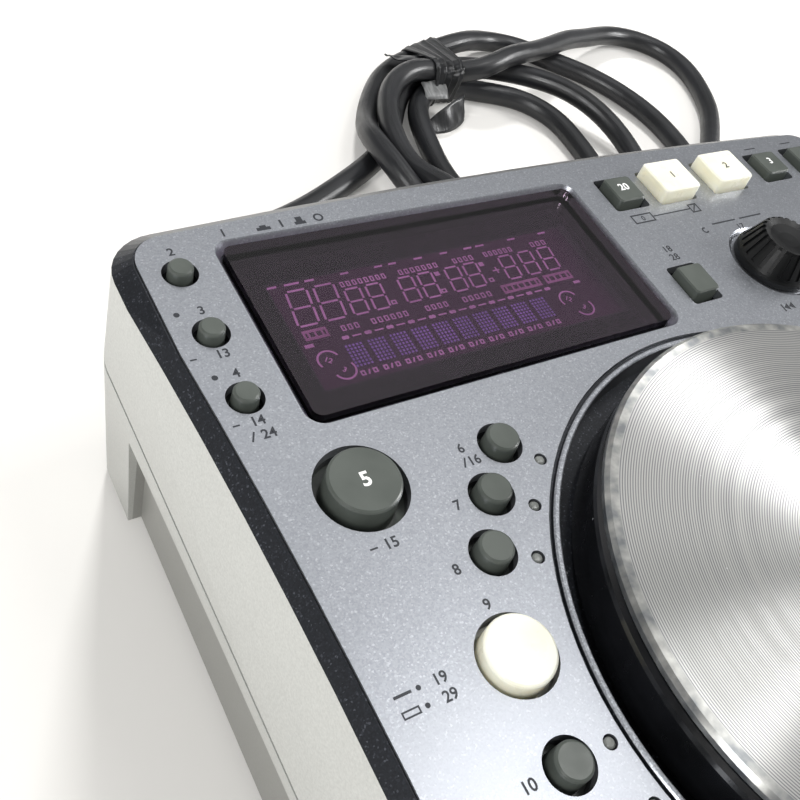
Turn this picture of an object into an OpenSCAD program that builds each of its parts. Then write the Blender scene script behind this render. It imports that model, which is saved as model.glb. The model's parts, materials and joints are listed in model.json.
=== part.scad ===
// Tabletop DJ disc player: a sloped two-tone case, a spun aluminium jog platter,
// a display window, a field of push buttons, a pitch fader and a front-loading disc tray.
// Millimetres. +X right, +Y towards the sockets, +Z up; the origin is on the floor
// under the middle of the case.

/* [Case] */
// Width at the seam between the two case halves
body_w = 217; // [205:1:235]
// Depth at the seam
body_d = 274; // [266:1:290]
// Height of the top panel over the floor
panel_z = 74; // [70:0.5:84]
// Height of the seam between the two case halves
seam_z = 44; // [41:0.5:47]
// Width of the dark gap along the seam
seam_gap = 1.0; // [0.6:0.1:1.6]
// Wall of the case mouldings
wall = 2.4; // [2:0.1:3]
// Plan radius of the corners at the seam
corner_r = 12.4; // [10:0.2:16]
// How far the walls lean in, in degrees
draft = 2; // [1:0.25:3]
// How far the front and the back bow outwards
bow = 2.6; // [1.5:0.1:3.5]
// Plan radius of the hollow along each flank
waist_r = 1150; // [1000:10:1800]
// Where along the case the flank hollow is deepest
waist_y = 24; // [0:1:30]

/* [Lower case] */
// Height of the rubber feet
foot_h = 3; // [2:0.25:5]
// Diameter of a foot
foot_d = 15; // [12:0.5:18]
// Depth of the hollow under the side lip
recess_depth = 3.2; // [2.4:0.1:4]
// Distance from the middle to the end of the hollow
recess_half = 108; // [100:1:112]
// Height of the hollow's arched top at its middle
arch_z = 39; // [36:0.25:40]
// Radius of the arch
arch_r = 2020; // [1500:10:3000]

/* [Top panel] */
// Thickness of the silver face plate
face_t = 2.5; // [2:0.1:3]
// Thickness of the cover that carries the face plate
cover_t = 2.0; // [1.6:0.1:2.6]
// Width of the dark sloped band at the corners
band_w = 3.8; // [3:0.1:5]
// Height of the dark sloped band
band_h = 2.9; // [2.2:0.1:3.6]
// Corner radius of the face plate
face_r = 7.2; // [6:0.1:9]

/* [Platter] */
// Centre of the platter behind the middle of the case
platter_y = 7.5; // [4:0.5:12]
// Diameter of the platter
platter_d = 119; // [112:0.5:122]
// Height of the platter over the panel
platter_rise = 10.2; // [8:0.1:12]
// Diameter of the opening in the face plate
ring_d = 132; // [130:0.5:136]
// Diameter of the platter shaft
shaft_d = 8; // [6:0.5:10]

/* [Display] */
// Width of the bevelled opening
window_w = 95.5; // [90:0.5:98]
// Depth of the bevelled opening
window_d = 48.8; // [46:0.2:50]
// Width of the bevel round the window
bevel_w = 1.9; // [1.4:0.1:2.4]

/* [Buttons] */
// Hole radius of the three round buttons left of the display
left_hole_r = 3.65; // [3.2:0.05:4.2]
// Hole radius of the buttons on the arc
arc_hole_r = 4.58; // [4:0.02:4.8]
// Hole radius of the tap button
tap_hole_r = 8.9; // [8:0.1:9.6]
// Hole radius of the disc mode button
mode_hole_r = 7.4; // [6.6:0.1:8]
// Hole radius of the cue and play buttons
play_hole_r = 12; // [10:0.25:13]
// Radius of the arc of buttons round the platter
arc_r = 77; // [76:0.25:79]
// Travel of the small buttons
key_travel = 0.8; // [0.5:0.1:1]
// How much further out the foot of a cap stands than the edge of its top
cap_slope = 0.35; // [0.2:0.05:0.5]

/* [Fader and knob] */
// Travel of the pitch fader
fader_travel = 60; // [50:1:64]
// Diameter of the select knob's skirt
knob_d = 21; // [18:0.5:22]
// Height of the select knob over the panel
knob_rise = 8.2; // [7:0.2:10]

/* [Tray] */
// Width of the disc tray
tray_w = 130; // [128:0.5:132]
// Travel of the disc tray
tray_travel = 126; // [120:1:130]
// Height of the tray's underside over the floor
tray_z = 19.5; // [18:0.25:22]
// Height of the tray's front
bezel_h = 17; // [15:0.5:19]

/* [Cord] */
// Diameter of the mains cord
cord_d = 8.2; // [6.5:0.1:9]

/* [Hidden] */

$fn = 96;
eps = 0.01;
slim = 0.15;                          // face-to-face fit of a plate in its recess
seat = 0.3;                           // gap kept between separate moving bodies

// heights
cover_z = panel_z - face_t;           // the face plate lies on the cover here
under_z = cover_z - cover_t;          // underside of the cover
rim_z = panel_z - 0.6;                // the dark band starts this high
band_z = rim_z - band_h;              // and ends on the upper case here
base_z = foot_h;                      // underside of the lower case
floor_in = base_z + 2.2;              // inner floor of the lower case
lip_z = seam_z - seam_gap / 2;        // top edge of the lower case
upper_z = seam_z + seam_gap / 2;      // bottom edge of the upper case

// plan half sizes
half_w = body_w / 2;
half_d = body_d / 2 - bow;
lean = tan(draft);
top_shrink = (band_z - upper_z) * lean;
base_shrink = (lip_z - base_z) * lean;
corner_x = half_w - corner_r;
corner_y = half_d - corner_r;
top_r = corner_r - top_shrink;
face_half_w = corner_x + face_r;
face_half_d = corner_y + face_r;
bow_r = (corner_x * corner_x + bow * bow) / (2 * bow);
waist_top = 4.5;                      // how far the hollow reaches in at the band
waist_band = 2.85;                    // width of the band where the hollow is deepest
cavity_half_w = half_w - waist_top - wall - 0.5;
cavity_half_d = half_d - wall - 1.2;
tongue = 1.4;                         // lip of the lower case that closes the seam
room_half_w = cavity_half_w - seat - tongue;
room_half_d = cavity_half_d - seat - tongue;
stations = [-1, -2 / 3, -1 / 3, 0, 1 / 3, 2 / 3, 1];

// ---------- shared shapes ----------

// Corner and edge posts of a case block, for one hull
module posts(z0, z1, r0, r1) {
    for (side = [-1, 1], s = stations) {
        translate([s * corner_x, side * (corner_y + bow * (1 - s * s)), z0])
            cylinder(h = z1 - z0, r1 = r0, r2 = r1, $fn = 32);
    }
}

module case_block(z0, z1, r0, r1) {
    hull() posts(z0, z1, r0, r1);
}

// A cylinder that hollows one flank, leaning by tilt degrees
module waist_cut(x, z, tilt) {
    r = waist_r / cos(tilt);
    for (side = [0, 1]) {
        mirror([side, 0, 0])
            translate([-x, waist_y, z])
                rotate([0, tilt, 0])
                    translate([-r, 0, -60])
                        cylinder(h = 120, r = r, $fn = 720);
    }
}

// Rounded rectangle centred on the origin
module round_rect(w, d, r) {
    square([w - 2 * r, d], center = true);
    square([w, d - 2 * r], center = true);
    for (x = [-1, 1], y = [-1, 1]) {
        translate([x * (w / 2 - r), y * (d / 2 - r)]) circle(r = r);
    }
}

// Outline of the face plate, smaller all round by inset
module face_outline(inset) {
    difference() {
        union() {
            round_rect(2 * (face_half_w - inset), 2 * (face_half_d - inset), face_r - inset);
            intersection() {
                square([2 * corner_x, 2 * (face_half_d + bow)], center = true);
                translate([0, face_half_d + bow - inset - bow_r]) circle(r = bow_r, $fn = 720);
                translate([0, bow_r + inset - face_half_d - bow]) circle(r = bow_r, $fn = 720);
            }
        }
        for (side = [-1, 1]) {
            translate([side * (half_w - waist_top - waist_band - 0.3 - inset + waist_r), waist_y])
                circle(r = waist_r, $fn = 720);
        }
    }
}

// Places its children on the arc round the platter
module on_arc(angle, r = arc_r) {
    translate([r * cos(angle), platter_y + r * sin(angle), 0]) children();
}

// ---------- where the controls sit ----------

left_x = -96;                         // the column left of the display
left_y = [118.3, 102.3, 86.3];
tap_at = [-84.5, 62.1];
echo_a = 135;
arc_step = 9;
mode_a = 166.8;
drag_a = 180.4;
arc_keys = [
    echo_a, echo_a + arc_step, echo_a + 2 * arc_step,
    drag_a, drag_a + arc_step, drag_a + 2 * arc_step
];
led_r = 68.7;                         // radius of the row of lamps inside the arc
lamp_keys = [echo_a, echo_a + arc_step, echo_a + 2 * arc_step, drag_a, drag_a + arc_step];
row_y = 118;                          // the row behind the select knob
row_x = [21.1, 36.9, 57.1, 77.3, 92.7];
row_size = [11.4, 11.5];
row_top = [8.0, 8.0];
white_size = [13.4, 12.6];
white_top = [12.0, 10.6];
next_at = [19.7, 86.1];
next_size = [9.6, 12.0];
knob_at = [49, 86.8];
window_at = [-39.6, 100.8];
cue_at = [-83, -61];
play_at = [-76, -98];
bend_x = [79, 93];
bend_y = 62;
bend_size = [10, 8];
eject_at = [0, -118];
eject_size = [20, 8];
fader_x = 86;
fader_y = -34;                        // middle of the fader's travel
fader_slot_w = 3.2;

// ---------- case ----------

recess_x = half_w - recess_depth - base_shrink;

module side_recess() {
    for (side = [-1, 1]) {
        intersection() {
            translate([side * (recess_x + 10), 0, arch_z / 2])
                cube([20, 2 * recess_half, arch_z + 10], center = true);
            translate([side * (recess_x + 10), 0, arch_z - arch_r])
                rotate([0, 90, 0])
                    cylinder(h = 40, r = arch_r, center = true, $fn = 720);
        }
    }
}

tray_gap = 0.7;                       // the bezel's clearance in its doorway, above and below
tray_open = [tray_w + 5, bezel_h + 2 * tray_gap];
bezel_z = tray_z - 4.2;
jack_z = 24;
rca_x = [18, 36, 58];
start_x = 78;
cord_at = [-62, 27];
power_at = [-78, 53.5];

// Screw bosses that tie the case halves together
boss_r = 4;
boss_x = cavity_half_w + 0.4 - boss_r;
boss_at = [[-boss_x, 74], [boss_x, 74], [-boss_x, -112], [boss_x, -112]];
drive_z = floor_in + 4;               // underside of the disc drive
drive_post = [[-66, -96], [66, -96], [-66, 28], [66, 28]];
psu_z = floor_in + 3;                 // underside of the power supply's board
psu_post = [[-86, 56], [-38, 56], [-86, 118], [-38, 118]];
main_z = seam_z - 5;                  // underside of the main board
main_post = [[-82, 6], [82, 6], [82, 102], [-28, 102]];

module lower_case() {
    color("gainsboro")
    difference() {
        union() {
            difference() {
                union() {
                    case_block(base_z, lip_z, corner_r - base_shrink, corner_r);
                    // lip that reaches up inside the upper case
                    translate([0, 0, lip_z - 1]) linear_extrude(height = seam_gap + 3)
                        round_rect(2 * (room_half_w + tongue), 2 * (room_half_d + tongue), 8 - seat);
                }
                side_recess();
                translate([0, 0, floor_in]) linear_extrude(height = 60)
                    round_rect(2 * room_half_w, 2 * room_half_d, 6);
                for (p = boss_at) translate([p[0], p[1], lip_z])
                    cylinder(h = 10, r = boss_r + seat);
            }
            for (p = boss_at) translate([p[0], p[1], floor_in - 1])
                cylinder(h = upper_z - floor_in + 1, r = boss_r);
            for (p = drive_post) translate([p[0], p[1], floor_in - 1])
                cylinder(h = drive_z - floor_in + 1, r = 4);
            for (p = psu_post) translate([p[0], p[1], floor_in - 1])
                cylinder(h = psu_z - floor_in + 1, r = 3);
            for (p = main_post) translate([p[0], p[1], floor_in - 1])
                cylinder(h = main_z - floor_in + 1, r = 3);
        }
        // the tray's doorway
        translate([0, -half_d, bezel_z + bezel_h / 2])
            cube([tray_open[0], 30, tray_open[1]], center = true);
        // sockets and cord through the back
        for (x = rca_x) translate([x, half_d, jack_z]) rotate([90, 0, 0])
            cylinder(h = 30, r = 5.2, center = true);
        translate([start_x, half_d, jack_z]) rotate([90, 0, 0])
            cylinder(h = 30, r = 3.4, center = true);
        translate([cord_at[0], half_d, cord_at[1]]) rotate([90, 0, 0])
            cylinder(h = 30, r = relief_r + 0.1, center = true);
        // screw holes up through the bosses, and the cooling slots in the floor
        for (p = boss_at) translate([p[0], p[1], base_z - 1]) {
            cylinder(h = 60, r = 1.6);
            cylinder(h = 3.4, r = 3.4);
        }
        for (i = [0 : 7]) translate([i * 8, 56, base_z - 1]) cube([3, 34, 8]);
    }
}

module upper_case() {
    tilt = atan(waist_top / (band_z - upper_z));
    color("gainsboro")
    difference() {
        union() {
            difference() {
                case_block(upper_z, band_z, corner_r, top_r);
                translate([0, 0, upper_z - 1])
                    linear_extrude(height = 60)
                        round_rect(2 * cavity_half_w, 2 * cavity_half_d, 8);
                waist_cut(half_w, upper_z, tilt);
            }
            for (p = boss_at) translate([p[0], p[1], upper_z])
                cylinder(h = under_z - upper_z - 0.1, r = boss_r);
        }
        for (p = boss_at) translate([p[0], p[1], upper_z - 1])
            cylinder(h = 16, r = 1.25);
        // the power button's hole
        translate([power_at[0], half_d, power_at[1]])
            cube([power_w + 0.8, 30, power_w + 0.8], center = true);
    }
}

// ---------- top cover, face plate and their openings ----------

module key_holes(z, h, extra = 0) {
    for (y = left_y) translate([left_x, y, z]) cylinder(h = h, r = left_hole_r + extra);
    translate([tap_at[0], tap_at[1], z]) cylinder(h = h, r = tap_hole_r + extra);
    for (a = arc_keys) on_arc(a) translate([0, 0, z]) cylinder(h = h, r = arc_hole_r + extra);
    on_arc(mode_a) translate([0, 0, z]) cylinder(h = h, r = mode_hole_r + extra);
    for (p = [cue_at, play_at]) translate([p[0], p[1], z])
        cylinder(h = h, r = play_hole_r + extra);
    for (a = lamp_keys) on_arc(a, led_r) translate([0, 0, z]) cylinder(h = h, r = 1.3);
    translate([knob_at[0], knob_at[1], z]) cylinder(h = h, r = 4);
}

module square_hole(at, size, z, h) {
    translate([at[0], at[1], z]) linear_extrude(height = h) round_rect(size[0], size[1], 1);
}

module square_holes(z, h) {
    for (i = [0 : 4]) square_hole([row_x[i], row_y], i == 1 || i == 2 ? white_size : row_size, z, h);
    square_hole(next_at, next_size, z, h);
    for (x = bend_x) square_hole([x, bend_y], bend_size, z, h);
    square_hole(eject_at, eject_size, z, h);
    translate([fader_x, fader_y, z]) linear_extrude(height = h)
        round_rect(fader_slot_w, fader_travel + fader_slot_w + 3, fader_slot_w / 2 - eps);
}

ring_r = ring_d / 2;
well_r = platter_d / 2 + 4.4;
well_z = panel_z - 9;
well_t = 2.2;

module band_cut() {
    for (side = [-1, 1]) translate([side * (half_w - waist_top + waist_r), waist_y, band_z])
        cylinder(h = band_h, r1 = waist_r, r2 = waist_r + waist_band, $fn = 720);
}

board_post = [[-45, -100], [45, -100], [70, 92], [-96, 16], [96, 20], [30, 71]];

module top_cover() {
    color([0.16, 0.17, 0.18])
    difference() {
        union() {
            difference() {
                case_block(band_z, rim_z, top_r, top_r - band_w);
                translate([0, 0, cover_z]) linear_extrude(height = 10)
                    face_outline(-slim);
                band_cut();
            }
            translate([0, 0, under_z]) linear_extrude(height = band_z - under_z + eps)
                round_rect(2 * cavity_half_w - 0.6, 2 * cavity_half_d - 0.6, 8);
            // wall of the platter well, up to the ridge round the platter with its groove
            translate([0, platter_y, 0]) rotate_extrude($fn = 180) polygon([
                [well_r, well_z], [ring_r - 0.1, well_z], [ring_r - 0.1, panel_z - 0.9],
                [ring_r - 0.75, panel_z - 0.9], [ring_r - 0.9, panel_z - 0.2],
                [ring_r - 1.2, panel_z + 0.1], [well_r + 0.25, panel_z + 0.1], [well_r, panel_z - 0.1]
            ]);
            translate([0, platter_y, well_z]) cylinder(h = well_t, r = well_r + 1, $fn = 180);
            // posts that carry the control board
            for (p = board_post) translate([p[0], p[1], board_z])
                cylinder(h = under_z - board_z + 0.5, r = 3);
        }
        translate([0, platter_y, well_z + well_t]) cylinder(h = 30, r = well_r, $fn = 180);
        translate([0, platter_y, well_z - 5]) cylinder(h = 20, r = 7.0);
        key_holes(under_z - 1, 20);
        square_holes(under_z - 1, 20);
        // pocket of the display
        translate([window_at[0], window_at[1], under_z - 1]) linear_extrude(height = 20)
            round_rect(window_w - 2 * bevel_w + 0.3, window_d - 2 * bevel_w + 0.3, 2.2);
    }
}

module face_plate() {
    color([0.60, 0.63, 0.67])
    difference() {
        translate([0, 0, cover_z]) linear_extrude(height = face_t) face_outline(0);
        translate([0, platter_y, cover_z - 1]) cylinder(h = 10, r = ring_r, $fn = 180);
        key_holes(cover_z - 1, 10);
        square_holes(cover_z - 1, 10);
        // bevelled window
        translate([window_at[0], window_at[1], 0]) hull() {
            translate([0, 0, panel_z + 0.05]) linear_extrude(height = 1)
                round_rect(window_w, window_d, 4);
            translate([0, 0, cover_z - 0.5]) linear_extrude(height = 0.5)
                round_rect(window_w - 2 * bevel_w + 0.3, window_d - 2 * bevel_w + 0.3, 2.2);
        }
        // shallow dish round the select knob
        translate([knob_at[0], knob_at[1], panel_z - 0.9])
            cylinder(h = 1, r1 = knob_d / 2 + 0.6, r2 = knob_d / 2 + 1.8);
    }
}

lens_t = 6;
lens_z = panel_z - 0.05 - lens_t;

module display_lens() {
    color([0.22, 0.17, 0.2])
    translate([window_at[0], window_at[1], lens_z]) {
        linear_extrude(height = lens_t)
            round_rect(window_w - 2 * bevel_w, window_d - 2 * bevel_w, 2);
        // flange glued under the cover
        linear_extrude(height = under_z - lens_z) round_rect(window_w + 1, window_d + 1, 2);
    }
}

board_z = panel_z - 13;               // top of the control board
board_t = 1.6;

module display_module() {
    color([0.25, 0.2, 0.3])
    translate([window_at[0], window_at[1], board_z]) {
        // glass tube with its filler tip, on a small board that lies on the control board
        translate([0, 0, 1.6]) linear_extrude(height = lens_z - board_z - 1.7) round_rect(88, 40, 1);
        translate([44, 0, 4]) rotate([0, 90, 0]) cylinder(h = 4, r = 1.2);
        linear_extrude(height = 1.6) round_rect(100, 50, 1);
    }
}

// Every push key as [x, y, plunger radius]
function arc_xy(a, r = arc_r) = [r * cos(a), platter_y + r * sin(a)];
key_points = concat(
    [for (y = left_y) [left_x, y]],
    [tap_at],
    [for (a = arc_keys) arc_xy(a)],
    [arc_xy(mode_a), cue_at, play_at],
    [for (x = row_x) [x, row_y]],
    [next_at],
    [for (x = bend_x) [x, bend_y]],
    [eject_at]
);

module control_board() {
    color([0.1, 0.35, 0.22])
    difference() {
        translate([0, 0, board_z - board_t]) linear_extrude(height = board_t)
            round_rect(2 * cavity_half_w - 2.4, 2 * cavity_half_d - 6, 4);
        translate([0, platter_y, board_z - 5]) cylinder(h = 10, r = ring_r + 1, $fn = 180);
        translate([window_at[0], window_at[1], board_z - 5]) linear_extrude(height = 10)
            round_rect(97, 47, 2);
        translate([fader_x, fader_y, board_z - 5]) linear_extrude(height = 10)
            round_rect(14.6, 80.6, 2);
        translate([knob_at[0], knob_at[1], board_z - 5]) linear_extrude(height = 10)
            round_rect(13, 13, 1);
        for (p = boss_at) translate([p[0], p[1], board_z - 5]) cylinder(h = 10, r = boss_r + 0.4);
    }
}

switch_h = 3.4;                       // a tact switch with its plunger

module tact_switches() {
    color([0.2, 0.2, 0.2])
    for (p = key_points) translate([p[0], p[1], board_z]) {
        translate([-3, -3, 0]) cube([6, 6, switch_h - 1]);
        cylinder(h = switch_h, r = 1.7);
    }
}

module led_lenses() {
    color([0.8, 0.82, 0.8])
    for (a = lamp_keys) {
        on_arc(a, led_r) rotate_extrude($fn = 32) polygon([
            [0, board_z], [1.2, board_z], [1.2, under_z - 1.4], [1.9, under_z - 1.4],
            [1.9, under_z - 0.05], [1.0, under_z - 0.05], [1.0, panel_z - 0.4],
            [0.7, panel_z - 0.05], [0, panel_z + 0.1]
        ]);
    }
}

// ---------- platter ----------

skirt_r = platter_d / 2;
platter_top = panel_z + platter_rise;
platter_floor = panel_z - 5;
hub_z = platter_floor - 1.4;

module platter_cover() {
    color([0.8, 0.8, 0.78])
    translate([0, platter_y, 0]) rotate_extrude($fn = 180) polygon([
        [0, platter_top - 2.2], [skirt_r - 1.4, platter_top - 2.2], [skirt_r, platter_top - 1.9],
        [skirt_r, platter_top - 0.7], [skirt_r - 0.8, platter_top],
        [9, platter_top], [8.4, platter_top - 0.5], [0, platter_top - 0.5]
    ]);
}

module platter_skirt() {
    color([0.1, 0.1, 0.11])
    translate([0, platter_y, 0]) rotate_extrude($fn = 180) polygon([
        [4.02, hub_z], [11, hub_z], [11, platter_floor + 3], [skirt_r - 2.4, platter_floor + 3],
        [skirt_r - 2.4, platter_floor], [skirt_r, platter_floor], [skirt_r, platter_top - 5.4],
        [skirt_r - 0.3, platter_top - 4.5], [skirt_r - 1.2, platter_top - 3.9],
        [skirt_r - 2.4, platter_top - 3.7], [skirt_r - 2.4, platter_top - 2.2],
        [4.02, platter_top - 2.2]
    ]);
}

module platter_shaft() {
    color([0.75, 0.75, 0.75])
    translate([0, platter_y, 0]) {
        translate([0, 0, board_z - 8]) cylinder(h = platter_top - 2.2 - board_z + 8, r = shaft_d / 2);
        // slotted disc read by the turn sensor
        difference() {
            translate([0, 0, board_z - 6.4]) cylinder(h = 0.8, r = 20);
            for (i = [0 : 23]) rotate([0, 0, i * 15]) translate([15, -0.7, board_z - 7])
                cube([3.6, 1.4, 2]);
        }
    }
}

module platter_bearing() {
    color([0.72, 0.6, 0.3])
    translate([0, platter_y, 0]) {
        // flanged bush, seated in the floor of the well
        rotate_extrude($fn = 96) polygon([
            [shaft_d / 2 + 0.04, board_z - 4.8], [6.9, board_z - 4.8], [6.9, well_z - 1.6],
            [12, well_z - 1.6], [12, well_z], [6.9, well_z], [6.9, hub_z - seat],
            [shaft_d / 2 + 0.04, hub_z - seat]
        ]);
    }
}

// ---------- push keys ----------

// Round key: hole radius, top radius and rise over the panel. It stands in its hole with
// a dark ring of the hole left open round it.
module round_key(at, hole_r, cap_r, rise, travel = key_travel) {
    translate([at[0], at[1], 0]) rotate_extrude($fn = 64) polygon([
        [0, board_z + switch_h + travel + 0.15], [1.6, board_z + switch_h + travel + 0.15],
        [1.6, under_z - 1.6], [hole_r + 0.9, under_z - 1.6], [hole_r + 0.9, under_z - seat],
        [cap_r + cap_slope, under_z - seat], [cap_r + 0.1, panel_z + rise - 0.55],
        [cap_r - 0.08, panel_z + rise - 0.2], [cap_r - 0.4, panel_z + rise], [0, panel_z + rise]
    ]);
}

// Square key: hole size, size of its top, rise over the panel and slope of its sides
module square_key(at, size, top, rise, slope = cap_slope, travel = key_travel) {
    translate([at[0], at[1], 0]) {
        translate([0, 0, board_z + switch_h + travel + 0.15])
            cylinder(h = under_z - 1.5 - board_z - switch_h - travel - 0.15, r = 1.6);
        translate([0, 0, under_z - 1.6]) linear_extrude(height = 1.6 - seat)
            round_rect(size[0] + 1.6, size[1] + 1.6, 1);
        hull() {
            translate([0, 0, under_z - seat - 0.2]) linear_extrude(height = 0.2)
                round_rect(top[0] + 2 * slope, top[1] + 2 * slope, 0.8, $fn = 16);
            translate([0, 0, panel_z + rise - 0.7]) linear_extrude(height = 0.35)
                round_rect(top[0] + 0.4, top[1] + 0.4, 0.9, $fn = 16);
            translate([0, 0, panel_z + rise - 0.3]) linear_extrude(height = 0.3)
                round_rect(top[0] - 0.2, top[1] - 0.2, 0.8, $fn = 16);
        }
    }
}

olive = [0.41, 0.43, 0.4];
cream = [0.95, 0.94, 0.88];
left_cap_r = left_hole_r * 0.66;
arc_cap_r = arc_hole_r * 0.7;

module title_button() { color(olive) round_key([left_x, left_y[0]], left_hole_r, left_cap_r, 2.1); }
module memo_button() { color(olive) round_key([left_x, left_y[1]], left_hole_r, left_cap_r, 2.1); }
module time_button() { color(olive) round_key([left_x, left_y[2]], left_hole_r, left_cap_r, 2.1); }
module tap_button() { color(olive) round_key(tap_at, tap_hole_r, tap_hole_r * 0.76, 2.8); }
module echo_button() { color(olive) round_key(arc_xy(arc_keys[0]), arc_hole_r, arc_cap_r, 2.4); }
module flanger_button() { color(olive) round_key(arc_xy(arc_keys[1]), arc_hole_r, arc_cap_r, 2.4); }
module filter_button() { color(olive) round_key(arc_xy(arc_keys[2]), arc_hole_r, arc_cap_r, 2.4); }
module mode_button() { color(cream) round_key(arc_xy(mode_a), mode_hole_r, mode_hole_r - 1.1, 2.2); }
module drag_button() { color(olive) round_key(arc_xy(arc_keys[3]), arc_hole_r, arc_cap_r, 2.2); }
module brake_button() { color(olive) round_key(arc_xy(arc_keys[4]), arc_hole_r, arc_cap_r, 2.2); }
module reverse_button() { color(olive) round_key(arc_xy(arc_keys[5]), arc_hole_r, arc_cap_r, 2.2); }
module cue_button() { color(cream) round_key(cue_at, play_hole_r, play_hole_r - 1.4, 2.6); }
module play_button() { color(cream) round_key(play_at, play_hole_r, play_hole_r - 1.4, 2.6); }

module flip_button() { color(olive) square_key([row_x[0], row_y], row_size, row_top, 1.9); }
module loop_in_button() { color(cream) square_key([row_x[1], row_y], white_size, white_top, 3.8); }
module loop_out_button() { color(cream) square_key([row_x[2], row_y], white_size, white_top, 3.8); }
module cue_b_button() { color(olive) square_key([row_x[3], row_y], row_size, row_top, 1.9); }
module exit_button() { color(olive) square_key([row_x[4], row_y], row_size, row_top, 1.9); }
module next_button() { color(olive) square_key(next_at, next_size, [7.2, 8.2], 2.0); }
module bend_down_button() { color(olive) square_key([bend_x[0], bend_y], bend_size, [7, 5], 1.8); }
module bend_up_button() { color(olive) square_key([bend_x[1], bend_y], bend_size, [7, 5], 1.8); }
module eject_button() { color(olive) square_key(eject_at, eject_size, [17, 5], 1.8); }

// ---------- knob and fader ----------

module knob_encoder() {
    color([0.55, 0.55, 0.55])
    translate([knob_at[0], knob_at[1], 0]) difference() {
        union() {
            translate([-6, -6, board_z - 1.2]) cube([12, 12, under_z - board_z + 1.1]);
            translate([0, 0, under_z - 0.2]) cylinder(h = panel_z - under_z - 1.0, r = 3.8);
        }
        translate([0, 0, board_z + 2]) cylinder(h = 20, r = 3.04);
    }
}

module select_knob() {
    r = knob_d / 2;
    z = panel_z - 0.6;
    lean = atan((r * 0.28) / (knob_rise - 1.4));
    color([0.12, 0.12, 0.13])
    translate([knob_at[0], knob_at[1], 0]) difference() {
        union() {
            rotate_extrude($fn = 96) polygon([
                [0, z], [r, z], [r, z + 1.6], [r - 0.4, z + 2.0],
                [r * 0.72, panel_z + knob_rise - 0.5], [r * 0.67, panel_z + knob_rise],
                [r * 0.5, panel_z + knob_rise - 0.7], [r * 0.25, panel_z + knob_rise - 1.2],
                [0, panel_z + knob_rise - 1.35]
            ]);
            // spindle that turns in the encoder
            translate([0, 0, board_z + 2.5]) cylinder(h = z - board_z - 2, r = 3);
        }
        // grip flutes
        for (i = [0 : 23]) rotate([0, 0, i * 15]) translate([r - 1.1, -0.5, z + 2.6])
            rotate([0, -lean, 0]) cube([3, 1, 12]);
    }
}

fader_w = 13;

module pitch_fader() {
    color([0.5, 0.52, 0.55])
    difference() {
        translate([fader_x, fader_y, board_z - 7]) linear_extrude(height = under_z - 0.1 - board_z + 7)
            round_rect(fader_w, fader_travel + 18, 1);
        translate([fader_x, fader_y, board_z - 4]) linear_extrude(height = 20)
            round_rect(3.0, fader_travel + 5, 1);
    }
}

module pitch_knob() {
    y = fader_y;
    color([0.13, 0.13, 0.14])
    translate([fader_x, y, 0]) {
        // blade that runs in the slot
        translate([-0.9, -1.6, board_z - 3.4]) cube([1.8, 3.2, panel_z + 1 - board_z + 3.4]);
        // cap with a waist across its grip
        difference() {
            hull() {
                translate([0, 0, panel_z + 0.4]) linear_extrude(height = 0.8) round_rect(12, 20, 1.2, $fn = 16);
                translate([0, 0, panel_z + 8]) linear_extrude(height = 0.4) round_rect(9.6, 14, 1.2, $fn = 16);
            }
            translate([0, 0, panel_z + 8.4 + 9]) rotate([0, 90, 0])
                cylinder(h = 20, r = 10.4, center = true);
        }
    }
}

// ---------- disc drive ----------

tray_front = -body_d / 2 + 0.9;
tray_t = 7;
hub_y = tray_front + 70;              // the spindle, behind the tray's front
tray_back = hub_y + 102;
bezel_back = tray_front + 4.5;
disc_r = 60.6;
slot_r = 17.5;
bezel_half = tray_w / 2 + 2;

rack_x = tray_w / 2 - 9;              // pitch line of the rack under the tray
tooth = PI;                           // pitch of the teeth
gear_teeth = 18;
gear_r = gear_teeth * tooth / (2 * PI);
gear_at = [rack_x - gear_r, tray_front + 25];
gear_z = tray_z - 6;
rack_z = bezel_z - tray_gap + 0.5;    // underside of the rack, clear of the doorway

module disc_tray() {
    y0 = bezel_back;
    first = ceil((y0 + 3 - gear_at[1]) / tooth);
    last = floor((tray_back - 3 - gear_at[1]) / tooth) - 1;
    color([0.2, 0.21, 0.22])
    difference() {
        union() {
            translate([-tray_w / 2, y0, tray_z]) cube([tray_w, tray_back - y0, tray_t]);
            // rack whose teeth point inwards
            translate([0, 0, rack_z]) linear_extrude(height = tray_z - rack_z + 0.2) polygon(concat(
                [[rack_x + 4, y0 + 1], [rack_x + 4, tray_back - 1], [rack_x + 1.05, tray_back - 1]],
                [for (k = [last : -1 : first]) each [
                    [rack_x + 1.05, gear_at[1] + (k + 0.5) * tooth + 1.04],
                    [rack_x - 0.8, gear_at[1] + (k + 0.5) * tooth + 0.39],
                    [rack_x - 0.8, gear_at[1] + (k + 0.5) * tooth - 0.39],
                    [rack_x + 1.05, gear_at[1] + (k + 0.5) * tooth - 1.04]
                ]],
                [[rack_x + 1.05, y0 + 1]]
            ));
        }
        // dishes for the two sizes of disc
        translate([0, hub_y, tray_z + 1.8]) cylinder(h = 20, r = disc_r, $fn = 120);
        translate([0, hub_y, tray_z + 1.2]) cylinder(h = 20, r = 40.6);
        // slot for the turntable and the pickup
        translate([0, hub_y, tray_z - 5]) cylinder(h = 20, r = slot_r);
        translate([-slot_r, hub_y, tray_z - 5]) cube([2 * slot_r, tray_back - hub_y + 5, 20]);
    }
}

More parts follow.
